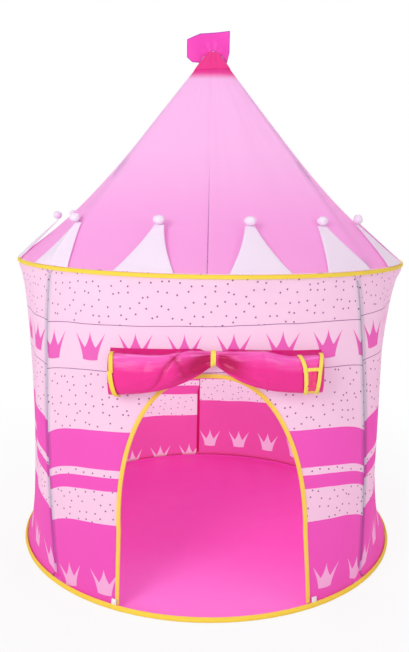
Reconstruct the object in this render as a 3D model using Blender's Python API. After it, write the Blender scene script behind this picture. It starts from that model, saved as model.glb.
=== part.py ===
# Kids play tent: a round pop-up wall of four hooped cloth panels under a pointed roof on four poles.
# Metres, +Z up. The origin is the middle of the floor, on the ground, and the door faces -Y.
# Azimuths are degrees about the tent's axis, from the door towards +X.

import bpy
import bmesh
from math import cos, degrees, exp, pi, radians, sin, sqrt
from mathutils import Matrix, Vector

# Driving dimensions of the tent
BASE_RADIUS = 0.525
EAVE_HEIGHT = 0.802
ROOF_TOP_HEIGHT = 1.338
ROOF_TOP_RADIUS = 0.026

# Cloth, tape and gaps that every piece shares
CLOTH = 0.0012
TAPE = 0.0008
SEAM_GAP = 0.0003
LOOSE_GAP = 0.0005
MERGE_DISTANCE = 0.00002

# Spring steel hoops: one closed wire around each wall panel
WIRE_RADIUS = 0.0015
WIRE_SIDE_ROOM = 0.0012
HOOP_SETBACK = 0.0062
HOOP_FOOT_CORNER = 0.045
HOOP_HEAD_CORNER = 0.020
CORNER_STEPS = 3
HOOP_ARC_STEPS = 13
HOOP_SIDE_STEPS = 6
WIRE_BEVEL_RESOLUTION = 1

# Bindings around the foot and the eave of the wall
BASE_BINDING_HEIGHT = 0.014
EAVE_BINDING_HEIGHT = 0.012
BINDING_STEPS = 64

# Shape of the wall: joints bow out and panel centres draw in, most at half height
PANEL_NAMES = ("front", "right", "back", "left")
JOINT_NAMES = ("front_left", "front_right", "back_right", "back_left")
JOINT_FOOT_AZIMUTHS = (-45.0, 47.5, 135.0, 225.0)
JOINT_HEAD_AZIMUTHS = (-45.0, 39.5, 135.0, 225.0)
FULL_TURN = 360.0
RIDGE_AZIMUTH = 45.0
JOINT_BOW = 0.018
PANEL_DRAW = 0.026
SIDE_DRAWS = ((90.0, 0.038), (270.0, 0.022))
SIDE_DRAW_START = 3.0
SIDE_DRAW_SPREAD = 14.0
BOW_POWER = 0.6
BOW_START = 0.012
PANEL_COLUMN_SHARES = (0.0, 0.20, 0.38, 0.54, 0.68, 0.80, 0.90, 0.96, 1.0)

# Wall joints: a taped seam between two hoops
SEAM_TAPE_HALF_WIDTH = 0.0105
SEAM_WEB_HALF_WIDTH = 0.0010

# Door: tapered legs under half of a slightly squared ellipse
DOOR_FOOT_HALF_WIDTH = 0.236
DOOR_HALF_WIDTH = 0.222
DOOR_SPRING_HEIGHT = 0.200
DOOR_TOP_DROP = 0.224
DOOR_ARCH_POWER = 2.3
DOOR_FOOT_AZIMUTH = 2.2
DOOR_TOP_AZIMUTH = 0.2
DOOR_ARCH_ANGLES = (16.0, 32.0, 46.0, 58.0, 68.0, 76.0, 83.0, 90.0)
OPENING_TAPE_LIP = 0.0085
OPENING_TAPE_ROOM = 0.0007

# Side windows: a squared ellipse in each side panel
WINDOW_AZIMUTH = 90.0
WINDOW_HALF_WIDTH = 0.118
WINDOW_HEAD_DROP = 0.157
WINDOW_HEIGHT = 0.360
WINDOW_POWER = 3.0
WINDOW_ANGLES = (-90.0, -83.0, -72.0, -54.0, -32.0, 0.0, 32.0, 54.0, 72.0, 83.0, 90.0)

# Roof: four gores, one over each pole, seamed at the middle of each side
GORE_NAMES = ("front_right", "back_right", "back_left", "front_left")
ROOF_BOW = 0.0165
ROOF_BOW_POWER = 0.6
ROOF_FLATNESS_SHARE = 0.25
ROOF_ROUNDING_SHARE = 0.30
ROOF_CREASE_POWER = 0.65
GORE_ROWS = 8
GORE_HALF_SHARES = (0.0, 0.06, 0.18, 0.38, 0.66, 1.0)
GORE_SEAM_GAP = 0.0006

# Apex cap over the gores' tips
CAP_SKIRT = 0.044
CAP_TIP_RISE = 0.014
CAP_STANDOFF = 0.0026
CAP_STEPS = 24
CAP_ROWS = 3

# Pennant straddling the tip, in the plane of X and Z, measured from the cap's tip
FLAG_THICKNESS = 0.0022
FLAG_LEFT = 0.071
FLAG_RIGHT = 0.044
FLAG_LEFT_RISE = 0.029
FLAG_MIDDLE_RISE = 0.045
FLAG_RIGHT_RISE = 0.053
FLAG_LEFT_DROP = 0.016
FLAG_RIGHT_DROP = 0.002
FLAG_FOOT_DROP = 0.031
FLAG_CORNER = 0.014

# Merlons: twelve stuffed flaps that stand on the eave and lean in, each with a round knob
MERLON_AZIMUTHS = (12.0, 37.0, 62.0, 94.5, 127.0, 159.5, 192.5, 225.0, 255.0, 285.0, 315.0, 344.0)
MERLON_HALF_WIDTH = 0.073
MERLON_NECK_HALF_WIDTH = 0.0155
MERLON_HEIGHT = 0.100
MERLON_LEAN = 0.108
MERLON_HALF_THICKNESS = 0.0012
MERLON_ROOF_ROOM = 0.0055
MERLON_ROWS = 4
MERLON_COLUMN_SHARES = (-1.0, -0.5, 0.0, 0.5, 1.0)
KNOB_HEIGHT = 0.020
KNOB_REACH = 0.022
KNOB_HALF_WIDTH = 0.0170
KNOB_STEP_SHARES = (0.15, 0.45, 0.75, 1.0)

# Roof poles: two fibreglass sections each, a steel ferrule, a rubber foot and a cloth pocket
POLE_RADIUS = 0.0035
POLE_SIDES = 8
POLE_SETBACK = 0.0115
POLE_FOOT_SETBACK = 0.0170
POLE_FOOT_RISE = 0.0020
POLE_SETTLE_RISE = 0.080
POLE_SECTION_STEPS = 4
POLE_JOINT_SHARE = 0.50
FERRULE_LENGTH = 0.060
FERRULE_WALL = 0.0009
FOOT_LENGTH = 0.020
FOOT_WALL = 0.0012
POCKET_LENGTH = 0.016
POCKET_WALL = 0.0010
POCKET_BASE_THICKNESS = 0.0030
POCKET_PATCH_WIDTH = 0.018
POCKET_PATCH_DROP = 0.019
POCKET_PATCH_DEPTH = 0.022
SMALL_ROUND_SIDES = 10

# Four-way hub under the apex
HUB_RADIUS = 0.016
HUB_DROP = 0.050
HUB_HEIGHT = 0.030
HUB_SHOULDER_SHARE = 0.7
HUB_SOCKET_WALL = 0.0016
HUB_SOCKET_LENGTH = 0.024
HUB_SOCKET_END = 0.0035
HUB_ARM_RADIUS = 0.0045
HUB_ARM_DROP = 0.0010
HUB_ARM_SHORTFALL = 0.0025
POLE_TOP_DROP = 0.028
CUT_OVERRUN = 0.004

# Door flap rolled up over the arch, pinched by a tie; sizes from the tie outwards
ROLL_MIDDLE = 0.012
ROLL_HALF_LENGTH = 0.228
ROLL_TOP_RISE = 0.062
ROLL_WAIST_DIP = 0.003
ROLL_DIP_SPREAD = 0.020
ROLL_WAIST_HALF_HEIGHT = 0.0140
ROLL_HALF_HEIGHT = 0.0520
ROLL_HEIGHT_SPREAD = 0.078
ROLL_WAIST_HALF_DEPTH = 0.0105
ROLL_HALF_DEPTH = 0.0290
ROLL_DEPTH_SPREAD = 0.045
ROLL_WALL_GAP = 0.0009
ROLL_HEM_GAP = 0.0012
ROLL_HEM_START = 0.025
ROLL_HEM_SIDE = 3
ROLL_PRESS_SHARE = 0.85
ROLL_SIDES = 18
ROLL_SQUARENESS = 0.80
ROLL_FOLD_COUNT = 4
ROLL_FOLD_DEPTH_SHARE = 0.13
ROLL_FOLD_SPREAD = 0.070
ROLL_STATIONS = (0.0, 0.006, 0.016, 0.030, 0.050, 0.080, 0.115, 0.155, 0.195)
TIE_HALF_WIDTH = 0.006
TIE_THICKNESS = 0.0014
ROLL_TRIM_THICKNESS = 0.0009
ROLL_TRIM_GAP = 0.0006
ROLL_TRIM_WIDTH = 0.009
ROLL_WINDOW_WIDTH = 0.052
ROLL_TRIM_FIRST_SIDE = 4
ROLL_TRIM_LAST_SIDE = 14
ROLL_BAR_SIDES = (5, 6)
HINGE_RISE = 0.002


# Derived heights and radii
CHANNEL_HALF = WIRE_RADIUS + WIRE_SIDE_ROOM + TAPE
HOOP_FOOT_HEIGHT = TAPE + SEAM_GAP + WIRE_RADIUS
HOOP_HEAD_HEIGHT = EAVE_HEIGHT - TAPE - SEAM_GAP - WIRE_RADIUS
PANEL_INSET = WIRE_RADIUS + SEAM_GAP
DOOR_TOP_HEIGHT = EAVE_HEIGHT - DOOR_TOP_DROP
WINDOW_HEAD_HEIGHT = EAVE_HEIGHT - WINDOW_HEAD_DROP
WINDOW_SILL_HEIGHT = WINDOW_HEAD_HEIGHT - WINDOW_HEIGHT
ROLL_TOP_HEIGHT = DOOR_TOP_HEIGHT + ROLL_TOP_RISE
TIP_HEIGHT = ROOF_TOP_HEIGHT + CAP_TIP_RISE
POLE_FOOT_HEIGHT = EAVE_HEIGHT + POLE_FOOT_RISE
POLE_TOP_HEIGHT = ROOF_TOP_HEIGHT - POLE_TOP_DROP
RIGHT_ANGLE = 90.0
RIDGE_COUNT = len(GORE_NAMES)


def clear_scene():
    for item in list(bpy.data.objects):
        bpy.data.objects.remove(item, do_unlink=True)


def make_material(name, colour, roughness, metallic=0.0):
    material = bpy.data.materials.new(name)
    material.use_nodes = True
    shader = material.node_tree.nodes["Principled BSDF"]
    shader.inputs["Base Color"].default_value = (*colour, 1.0)
    shader.inputs["Roughness"].default_value = roughness
    shader.inputs["Metallic"].default_value = metallic
    return material


def add_object(name, data, colour, roughness=0.8, metallic=0.0):
    item = bpy.data.objects.new(name, data)
    bpy.context.scene.collection.objects.link(item)
    data.materials.append(make_material(name, colour, roughness, metallic))
    return item


def finish_mesh(name, mesh_builder, colour, roughness=0.8, metallic=0.0, smooth=True):
    bmesh.ops.remove_doubles(mesh_builder, verts=mesh_builder.verts, dist=MERGE_DISTANCE)
    bmesh.ops.recalc_face_normals(mesh_builder, faces=mesh_builder.faces)
    mesh = bpy.data.meshes.new(name)
    mesh_builder.to_mesh(mesh)
    mesh_builder.free()
    if smooth:
        mesh.shade_smooth()
        mesh.set_sharp_from_angle(angle=radians(RIDGE_AZIMUTH))
    return add_object(name, mesh, colour, roughness, metallic)


def mix(first, last, share):
    return first + (last - first) * share


def place(radius, azimuth, height):
    turn = radians(azimuth)
    return Vector((radius * sin(turn), -radius * cos(turn), height))


def outward(azimuth):
    return place(1.0, azimuth, 0.0)


def arc_degrees(length):
    return degrees(length / BASE_RADIUS)


# The wall's surface

def side_draw(azimuth):
    # The side panels stretch flatter than the front and the back, just past their joints
    total = 0.0
    for middle, draw in SIDE_DRAWS:
        past_joint = RIDGE_AZIMUTH - abs(azimuth % FULL_TURN - middle)
        share = min(max((past_joint - SIDE_DRAW_START) / SIDE_DRAW_SPREAD, 0.0), 1.0)
        total += draw * sin(pi * share / 2) ** 2
    return total


def wall_radius(azimuth, height):
    low = BASE_BINDING_HEIGHT + BOW_START
    high = EAVE_HEIGHT - EAVE_BINDING_HEIGHT - BOW_START
    share = min(max((height - low) / (high - low), 0.0), 1.0)
    bow = abs(sin(pi * share)) ** BOW_POWER
    lobe = cos(radians(RIDGE_COUNT * (azimuth - RIDGE_AZIMUTH)))
    reach = JOINT_BOW if lobe > 0.0 else PANEL_DRAW
    return BASE_RADIUS + (reach * lobe - side_draw(azimuth)) * bow


def wall_point(azimuth, height, standoff=0.0):
    return place(wall_radius(azimuth, height) + standoff, azimuth, height)


def joint_azimuth(index, height):
    turn, slot = divmod(index, len(JOINT_NAMES))
    share = height / EAVE_HEIGHT
    azimuth = mix(JOINT_FOOT_AZIMUTHS[slot], JOINT_HEAD_AZIMUTHS[slot], share)
    return azimuth + turn * FULL_TURN


def corner_outline(corner, inset, level, upward):
    # Offset from the joint and height of each point round one rounded corner of a panel
    radius = corner - inset
    points = []
    for step in range(CORNER_STEPS + 1):
        turn = radians(RIGHT_ANGLE * step / CORNER_STEPS)
        offset = HOOP_SETBACK + inset + radius - radius * sin(turn)
        points.append((offset, level + upward * (radius - radius * cos(turn))))
    return points


def foot_corner(inset):
    return corner_outline(HOOP_FOOT_CORNER, inset, HOOP_FOOT_HEIGHT + inset, 1.0)


def head_corner(inset):
    return corner_outline(HOOP_HEAD_CORNER, inset, HOOP_HEAD_HEIGHT - inset, -1.0)


def side_levels():
    # Heights along a panel's straight side, between its two rounded corners
    low, high = foot_corner(0.0)[-1][1], head_corner(0.0)[-1][1]
    return [mix(low, high, step / HOOP_SIDE_STEPS) for step in range(HOOP_SIDE_STEPS + 1)]


# Openings: half width along the wall at a height, and the heights of their rows

def door_half_width(height):
    if height <= DOOR_SPRING_HEIGHT:
        return mix(DOOR_FOOT_HALF_WIDTH, DOOR_HALF_WIDTH, height / DOOR_SPRING_HEIGHT)
    share = (height - DOOR_SPRING_HEIGHT) / (DOOR_TOP_HEIGHT - DOOR_SPRING_HEIGHT)
    return DOOR_HALF_WIDTH * sqrt(max(1.0 - share ** DOOR_ARCH_POWER, 0.0))


def door_rows():
    rise = DOOR_TOP_HEIGHT - DOOR_SPRING_HEIGHT
    legs = [DOOR_SPRING_HEIGHT / 2, DOOR_SPRING_HEIGHT]
    shares = [sin(radians(angle)) ** (2 / DOOR_ARCH_POWER) for angle in DOOR_ARCH_ANGLES]
    return legs + [DOOR_SPRING_HEIGHT + rise * share for share in shares]


def door_centre(height):
    return mix(DOOR_FOOT_AZIMUTH, DOOR_TOP_AZIMUTH, min(height / DOOR_TOP_HEIGHT, 1.0))


def window_half_width(height):
    middle = (WINDOW_SILL_HEIGHT + WINDOW_HEAD_HEIGHT) / 2
    reach = (WINDOW_HEAD_HEIGHT - WINDOW_SILL_HEIGHT) / 2
    share = abs(height - middle) / reach
    return WINDOW_HALF_WIDTH * max(1.0 - share ** WINDOW_POWER, 0.0) ** (1.0 / WINDOW_POWER)


def window_rows():
    middle = (WINDOW_SILL_HEIGHT + WINDOW_HEAD_HEIGHT) / 2
    reach = (WINDOW_HEAD_HEIGHT - WINDOW_SILL_HEIGHT) / 2
    rows = []
    for angle in WINDOW_ANGLES:
        rise = sin(radians(angle))
        share = abs(rise) ** (2.0 / WINDOW_POWER)
        rows.append(middle + (share if rise > 0.0 else -share) * reach)
    return rows


class Opening:
    def __init__(self, half_width, rows, centre, open_foot):
        self.half_width = half_width
        self.rows = rows
        self.centre = centre
        self.top = rows[-1]
        self.bottom = 0.0 if open_foot else rows[0]
        self.open_foot = open_foot

    def width_at(self, height):
        if height < self.bottom or height > self.top:
            return 0.0
        return self.half_width(height)


def edge_offset(height, foot, head):
    # Distance from the joint to the panel's edge, read from its two rounded corners
    for corner in (foot, head):
        for offset, level in corner:
            if abs(level - height) < MERGE_DISTANCE:
                return offset
    return HOOP_SETBACK + PANEL_INSET


def add_grid(mesh_builder, rows):
    grid = [[mesh_builder.verts.new(point) for point in row] for row in rows]
    for lower, upper in zip(grid, grid[1:]):
        for column in range(len(lower) - 1):
            corners = (lower[column], lower[column + 1], upper[column + 1], upper[column])
            mesh_builder.faces.new(corners)
    return grid


def cloth_object(name, mesh_builder, colour, thickness, offset=0.0, roughness=0.8):
    # A sheet given its thickness, with its rim closed
    bmesh.ops.remove_doubles(mesh_builder, verts=mesh_builder.verts, dist=MERGE_DISTANCE)
    mesh = bpy.data.meshes.new(name)
    mesh_builder.to_mesh(mesh)
    mesh_builder.free()
    mesh.shade_smooth()
    item = add_object(name, mesh, colour, roughness)
    solidify = item.modifiers.new("cloth", "SOLIDIFY")
    solidify.thickness = thickness
    solidify.offset = offset
    solidify.use_rim = True
    return item


def wall_panel(index, opening, colour):
    shares = PANEL_COLUMN_SHARES
    mirrored = [1.0 - share for share in reversed(shares)]
    foot = foot_corner(PANEL_INSET)
    head = head_corner(PANEL_INSET)
    levels = [level for _, level in foot] + [level for _, level in head]
    low, high = foot[-1][1], head[-1][1]
    inside = opening.rows if opening else []
    levels += [level for level in inside]
    spans = sorted([low, high] + [level for level in inside if low < level < high])
    for first, last in zip(spans, spans[1:]):
        widest = (high - low) / HOOP_SIDE_STEPS
        pieces = int((last - first) / widest) + 1
        levels += [mix(first, last, step / pieces) for step in range(1, pieces)]
    levels = sorted(levels)
    left_rows, right_rows = [], []
    for level in levels:
        offset = arc_degrees(edge_offset(level, foot, head))
        start = joint_azimuth(index, level) + offset
        end = joint_azimuth(index + 1, level) - offset
        if opening:
            width = arc_degrees(opening.width_at(level))
            left_end = opening.centre(level) - width
            right_start = opening.centre(level) + width
        else:
            left_end = right_start = (start + end) / 2
        left_rows.append([wall_point(mix(start, left_end, share), level) for share in shares])
        right_rows.append([wall_point(mix(right_start, end, share), level) for share in mirrored])
    mesh_builder = bmesh.new()
    add_grid(mesh_builder, left_rows)
    add_grid(mesh_builder, right_rows)
    return cloth_object(PANEL_NAMES[index] + "_wall", mesh_builder, colour, CLOTH)


# Tubes and swept tapes

def tube_object(name, points, radius, bevel_resolution, closed, colour, roughness, metallic):
    curve = bpy.data.curves.new(name, "CURVE")
    curve.dimensions = "3D"
    curve.bevel_depth = radius
    curve.bevel_resolution = bevel_resolution
    curve.use_fill_caps = True
    spline = curve.splines.new("POLY")
    spline.points.add(len(points) - 1)
    for target, point in zip(spline.points, points):
        target.co = (*point, 1.0)
    spline.use_cyclic_u = closed
    spline.use_smooth = True
    return add_object(name, curve, colour, roughness, metallic)


def skin(mesh_builder, sections, closed):
    # Joins outlines of like counts into a closed ring, or into a bar with capped ends
    loops = [[mesh_builder.verts.new(point) for point in section] for section in sections]
    pairs = list(zip(loops, loops[1:]))
    if closed:
        pairs.append((loops[-1], loops[0]))
    count = len(loops[0])
    for near, far in pairs:
        for corner in range(count):
            following = (corner + 1) % count
            mesh_builder.faces.new((near[corner], near[following], far[following], far[corner]))
    if not closed:
        mesh_builder.faces.new(loops[0])
        mesh_builder.faces.new(list(reversed(loops[-1])))


def sweep(mesh_builder, frames, profile, closed):
    # Carries a closed outline along frames of (origin, first axis, second axis)
    sections = [[origin + first * x + second * y for x, y in profile]
                for origin, first, second in frames]
    skin(mesh_builder, sections, closed)


def channel_profile(lip, web_outside, web_inside, half_outside, half_inside):
    # A U that opens along the first axis, with its web behind the edge it covers
    return [(-web_outside, -half_outside), (lip, -half_outside), (lip, -half_inside),
            (-web_inside, -half_inside), (-web_inside, half_inside), (lip, half_inside),
            (lip, half_outside), (-web_outside, half_outside)]


def turned(mesh_builder, profile, base, axis, sides):
    # Turns (radius, height along the axis) points about an axis; the ends lie on the axis
    turn = Vector((0.0, 0.0, 1.0)).rotation_difference(axis).to_matrix().to_4x4()
    seat = Matrix.Translation(base) @ turn
    rings = []
    for radius, height in profile:
        if radius == 0.0:
            rings.append([mesh_builder.verts.new(seat @ Vector((0.0, 0.0, height)))])
            continue
        ring = []
        for step in range(sides):
            angle = 2 * pi * step / sides
            ring.append(mesh_builder.verts.new(
                seat @ Vector((radius * cos(angle), radius * sin(angle), height))))
        rings.append(ring)
    for near, far in zip(rings, rings[1:]):
        for step in range(sides):
            following = (step + 1) % sides
            corners = [near[step % len(near)], near[following % len(near)],
                       far[following % len(far)], far[step % len(far)]]
            unique = [corner for spot, corner in enumerate(corners) if corner not in corners[:spot]]
            mesh_builder.faces.new(unique)


def make_hoop(index, colour):
    points = []
    foot, head = foot_corner(0.0), head_corner(0.0)
    side = side_levels()[1:-1]

    def on_left(offset, level):
        return joint_azimuth(index, level) + arc_degrees(offset), level

    def on_right(offset, level):
        return joint_azimuth(index + 1, level) - arc_degrees(offset), level

    left_foot, right_foot = on_left(*foot[0]), on_right(*foot[0])
    left_head, right_head = on_left(*head[0]), on_right(*head[0])
    for step in range(1, HOOP_ARC_STEPS):
        share = step / HOOP_ARC_STEPS
        points.append((mix(left_foot[0], right_foot[0], share), left_foot[1]))
    points += [on_right(*spot) for spot in foot]
    points += [on_right(HOOP_SETBACK, level) for level in side]
    points += [on_right(*spot) for spot in reversed(head)]
    for step in range(1, HOOP_ARC_STEPS):
        share = step / HOOP_ARC_STEPS
        points.append((mix(right_head[0], left_head[0], share), left_head[1]))
    points += [on_left(*spot) for spot in head]
    points += [on_left(HOOP_SETBACK, level) for level in reversed(side)]
    points += [on_left(*spot) for spot in reversed(foot)]
    path = [wall_point(azimuth, level) for azimuth, level in points]
    tube_object(PANEL_NAMES[index] + "_hoop", path, WIRE_RADIUS, WIRE_BEVEL_RESOLUTION, True,
                colour, 0.35, 1.0)


def make_seam_tape(slot, colour):
    half = SEAM_TAPE_HALF_WIDTH
    web = SEAM_WEB_HALF_WIDTH
    outside = CHANNEL_HALF
    inside = CHANNEL_HALF - TAPE
    profile = [(-half, -outside), (half, -outside), (half, -inside), (web, -inside),
               (web, inside), (half, inside), (half, outside), (-half, outside),
               (-half, inside), (-web, inside), (-web, -inside), (-half, -inside)]
    frames = []
    for level in side_levels():
        azimuth = joint_azimuth(slot, level)
        radial = outward(azimuth)
        sideways = Vector((0.0, 0.0, 1.0)).cross(radial)
        frames.append((wall_point(azimuth, level), sideways, radial))
    mesh_builder = bmesh.new()
    sweep(mesh_builder, frames, profile, False)
    finish_mesh(JOINT_NAMES[slot] + "_seam_tape", mesh_builder, colour)


def ring_frames(level):
    frames = []
    for step in range(BINDING_STEPS):
        azimuth = FULL_TURN * step / BINDING_STEPS
        frames.append((place(BASE_RADIUS, azimuth, level), Vector((0.0, 0.0, 1.0)), outward(azimuth)))
    return frames


def make_base_binding(colour):
    half = CHANNEL_HALF
    profile = channel_profile(BASE_BINDING_HEIGHT, 0.0, -TAPE, half, half - TAPE)
    mesh_builder = bmesh.new()
    sweep(mesh_builder, ring_frames(0.0), profile, True)
    finish_mesh("base_binding", mesh_builder, colour)


def make_eave_binding(colour):
    half = CHANNEL_HALF
    profile = channel_profile(EAVE_BINDING_HEIGHT, 0.0, -TAPE, half, half - TAPE)
    flipped = [(-rise, depth) for rise, depth in profile]
    mesh_builder = bmesh.new()
    sweep(mesh_builder, ring_frames(EAVE_HEIGHT), flipped, True)
    finish_mesh("eave_binding", mesh_builder, colour)


def make_floor(colour):
    radius = BASE_RADIUS - CHANNEL_HALF - LOOSE_GAP
    mesh_builder = bmesh.new()
    bmesh.ops.create_circle(mesh_builder, cap_ends=True, segments=BINDING_STEPS, radius=radius)
    face = list(mesh_builder.faces)
    raised = bmesh.ops.extrude_face_region(mesh_builder, geom=face)
    verts = [item for item in raised["geom"] if isinstance(item, bmesh.types.BMVert)]
    bmesh.ops.translate(mesh_builder, verts=verts, vec=(0.0, 0.0, CLOTH))
    finish_mesh("floor_sheet", mesh_builder, colour, smooth=False)


def opening_tape(name, opening, colour):
    # A folded tape along the edge of an opening, over both faces of the cloth
    half_inside = CLOTH / 2 + OPENING_TAPE_ROOM
    half_outside = half_inside + TAPE
    profile = channel_profile(OPENING_TAPE_LIP, SEAM_GAP + TAPE, SEAM_GAP, half_outside, half_inside)
    levels = list(opening.rows)
    if opening.open_foot:
        foot = BASE_BINDING_HEIGHT + SEAM_GAP
        rising = [level for _, level in foot_corner(PANEL_INSET) if level > foot]
        levels = [foot] + rising + levels
    left = [(opening.centre(level) - arc_degrees(opening.width_at(level)), level) for level in levels]
    right = [(opening.centre(level) + arc_degrees(opening.width_at(level)), level) for level in levels]
    route = left + list(reversed(right[:-1]))
    if not opening.open_foot:
        route = route[:-1]
    # The route is unrolled to arc length and height, where the tape's width is square to it
    flat = [Vector((radians(azimuth) * BASE_RADIUS, level)) for azimuth, level in route]
    count = len(flat)
    sections = []
    for spot, (azimuth, level) in enumerate(route):
        before = (flat[spot] - flat[spot - 1]).normalized()
        after = (flat[(spot + 1) % count] - flat[spot]).normalized()
        if opening.open_foot and spot in (0, count - 1):
            # Both ends are cut level
            before = after = Vector((0.0, 1.0 if spot == 0 else -1.0))
        along = (before + after).normalized()
        away = Vector((-along.y, along.x))
        stretch = 1.0 / away.dot(Vector((-after.y, after.x)))
        section = []
        for reach, depth in profile:
            turned_azimuth = azimuth + arc_degrees(away.x * reach * stretch)
            section.append(wall_point(turned_azimuth, level + away.y * reach * stretch, depth))
        sections.append(section)
    mesh_builder = bmesh.new()
    skin(mesh_builder, sections, not opening.open_foot)
    finish_mesh(name, mesh_builder, colour)


# The roof's surface

def roof_share(height):
    return min(max((height - EAVE_HEIGHT) / (ROOF_TOP_HEIGHT - EAVE_HEIGHT), 0.0), 1.0)


def ridge_radius(height):
    share = roof_share(height)
    bow = ROOF_BOW * sin(pi * share ** ROOF_BOW_POWER)
    foot = BASE_RADIUS - CHANNEL_HALF + CLOTH
    return mix(foot, ROOF_TOP_RADIUS, share) + bow


def roof_radius(azimuth, height):
    share = roof_share(height)
    flat = ROOF_FLATNESS_SHARE * (1.0 - exp(-share / ROOF_ROUNDING_SHARE))
    quarter = FULL_TURN / RIDGE_COUNT
    between = ((azimuth - RIDGE_AZIMUTH) % quarter) / quarter
    return ridge_radius(height) * (1.0 - flat * abs(sin(pi * between)) ** ROOF_CREASE_POWER)


def make_gore(slot, colour):
    quarter = FULL_TURN / RIDGE_COUNT
    middle = RIDGE_AZIMUTH + quarter * slot
    rows = []
    for step in range(GORE_ROWS + 1):
        level = mix(EAVE_HEIGHT + SEAM_GAP + CLOTH / 2, ROOF_TOP_HEIGHT, step / GORE_ROWS)
        gap = degrees(GORE_SEAM_GAP / 2 / roof_radius(middle + quarter / 2, level))
        reach = quarter / 2 - gap
        spread = [-share for share in reversed(GORE_HALF_SHARES[1:])] + list(GORE_HALF_SHARES)
        azimuths = [middle + reach * share for share in spread]
        rows.append([place(roof_radius(azimuth, level), azimuth, level) for azimuth in azimuths])
    mesh_builder = bmesh.new()
    add_grid(mesh_builder, rows)
    cloth_object(GORE_NAMES[slot] + "_roof_gore", mesh_builder, colour, CLOTH, 0.0, 0.55)


def cap_radius(azimuth, height):
    if height >= ROOF_TOP_HEIGHT:
        share = (height - ROOF_TOP_HEIGHT) / CAP_TIP_RISE
        return (roof_radius(azimuth, ROOF_TOP_HEIGHT) + CAP_STANDOFF) * (1.0 - share)
    return roof_radius(azimuth, height) + CAP_STANDOFF


def make_apex_cap(colour):
    mesh_builder = bmesh.new()
    rings = []
    for row in range(CAP_ROWS + 1):
        level = mix(ROOF_TOP_HEIGHT - CAP_SKIRT, ROOF_TOP_HEIGHT, row / CAP_ROWS)
        ring = []
        for step in range(CAP_STEPS):
            azimuth = FULL_TURN * step / CAP_STEPS
            ring.append(mesh_builder.verts.new(place(cap_radius(azimuth, level), azimuth, level)))
        rings.append(ring)
    tip = mesh_builder.verts.new((0.0, 0.0, TIP_HEIGHT))
    for near, far in zip(rings, rings[1:]):
        for step in range(CAP_STEPS):
            following = (step + 1) % CAP_STEPS
            mesh_builder.faces.new((near[step], near[following], far[following], far[step]))
    for step in range(CAP_STEPS):
        mesh_builder.faces.new((rings[-1][step], rings[-1][(step + 1) % CAP_STEPS], tip))
    cloth_object("apex_cap", mesh_builder, colour, CLOTH, 0.0, 0.55)


def make_flag(colour):
    clear = CLOTH + LOOSE_GAP
    foot_level = TIP_HEIGHT - FLAG_FOOT_DROP
    outline = []
    outline.append((-FLAG_LEFT, TIP_HEIGHT + FLAG_LEFT_RISE))
    outline.append((-FLAG_LEFT / 2, TIP_HEIGHT + FLAG_MIDDLE_RISE))
    outline.append((FLAG_RIGHT, TIP_HEIGHT + FLAG_RIGHT_RISE))
    outline.append((FLAG_RIGHT, TIP_HEIGHT - FLAG_RIGHT_DROP))
    side = cap_radius(WINDOW_AZIMUTH, foot_level) + clear
    shoulder = cap_radius(WINDOW_AZIMUTH, ROOF_TOP_HEIGHT) + clear
    outline.append((side, foot_level))
    outline.append((shoulder, ROOF_TOP_HEIGHT + clear / 2))
    outline.append((0.0, TIP_HEIGHT + clear))
    outline.append((-shoulder, ROOF_TOP_HEIGHT + clear / 2))
    outline.append((-side, foot_level))
    outline.append((-FLAG_LEFT + FLAG_CORNER, foot_level + clear))
    outline.append((-FLAG_LEFT, TIP_HEIGHT - FLAG_LEFT_DROP))
    mesh_builder = bmesh.new()
    near = [mesh_builder.verts.new((x, -FLAG_THICKNESS / 2, z)) for x, z in outline]
    face = mesh_builder.faces.new(near)
    raised = bmesh.ops.extrude_face_region(mesh_builder, geom=[face])
    verts = [item for item in raised["geom"] if isinstance(item, bmesh.types.BMVert)]
    bmesh.ops.translate(mesh_builder, verts=verts, vec=(0.0, FLAG_THICKNESS, 0.0))
    finish_mesh("top_flag", mesh_builder, colour, smooth=False)


def merlon_radius(azimuth, height):
    share = (height - EAVE_HEIGHT) / MERLON_HEIGHT
    leaning = BASE_RADIUS + MERLON_HALF_THICKNESS - MERLON_LEAN * share
    if share < 1.0 / MERLON_ROWS:
        return leaning
    return max(leaning, roof_radius(azimuth, height) + MERLON_ROOF_ROOM)


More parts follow.
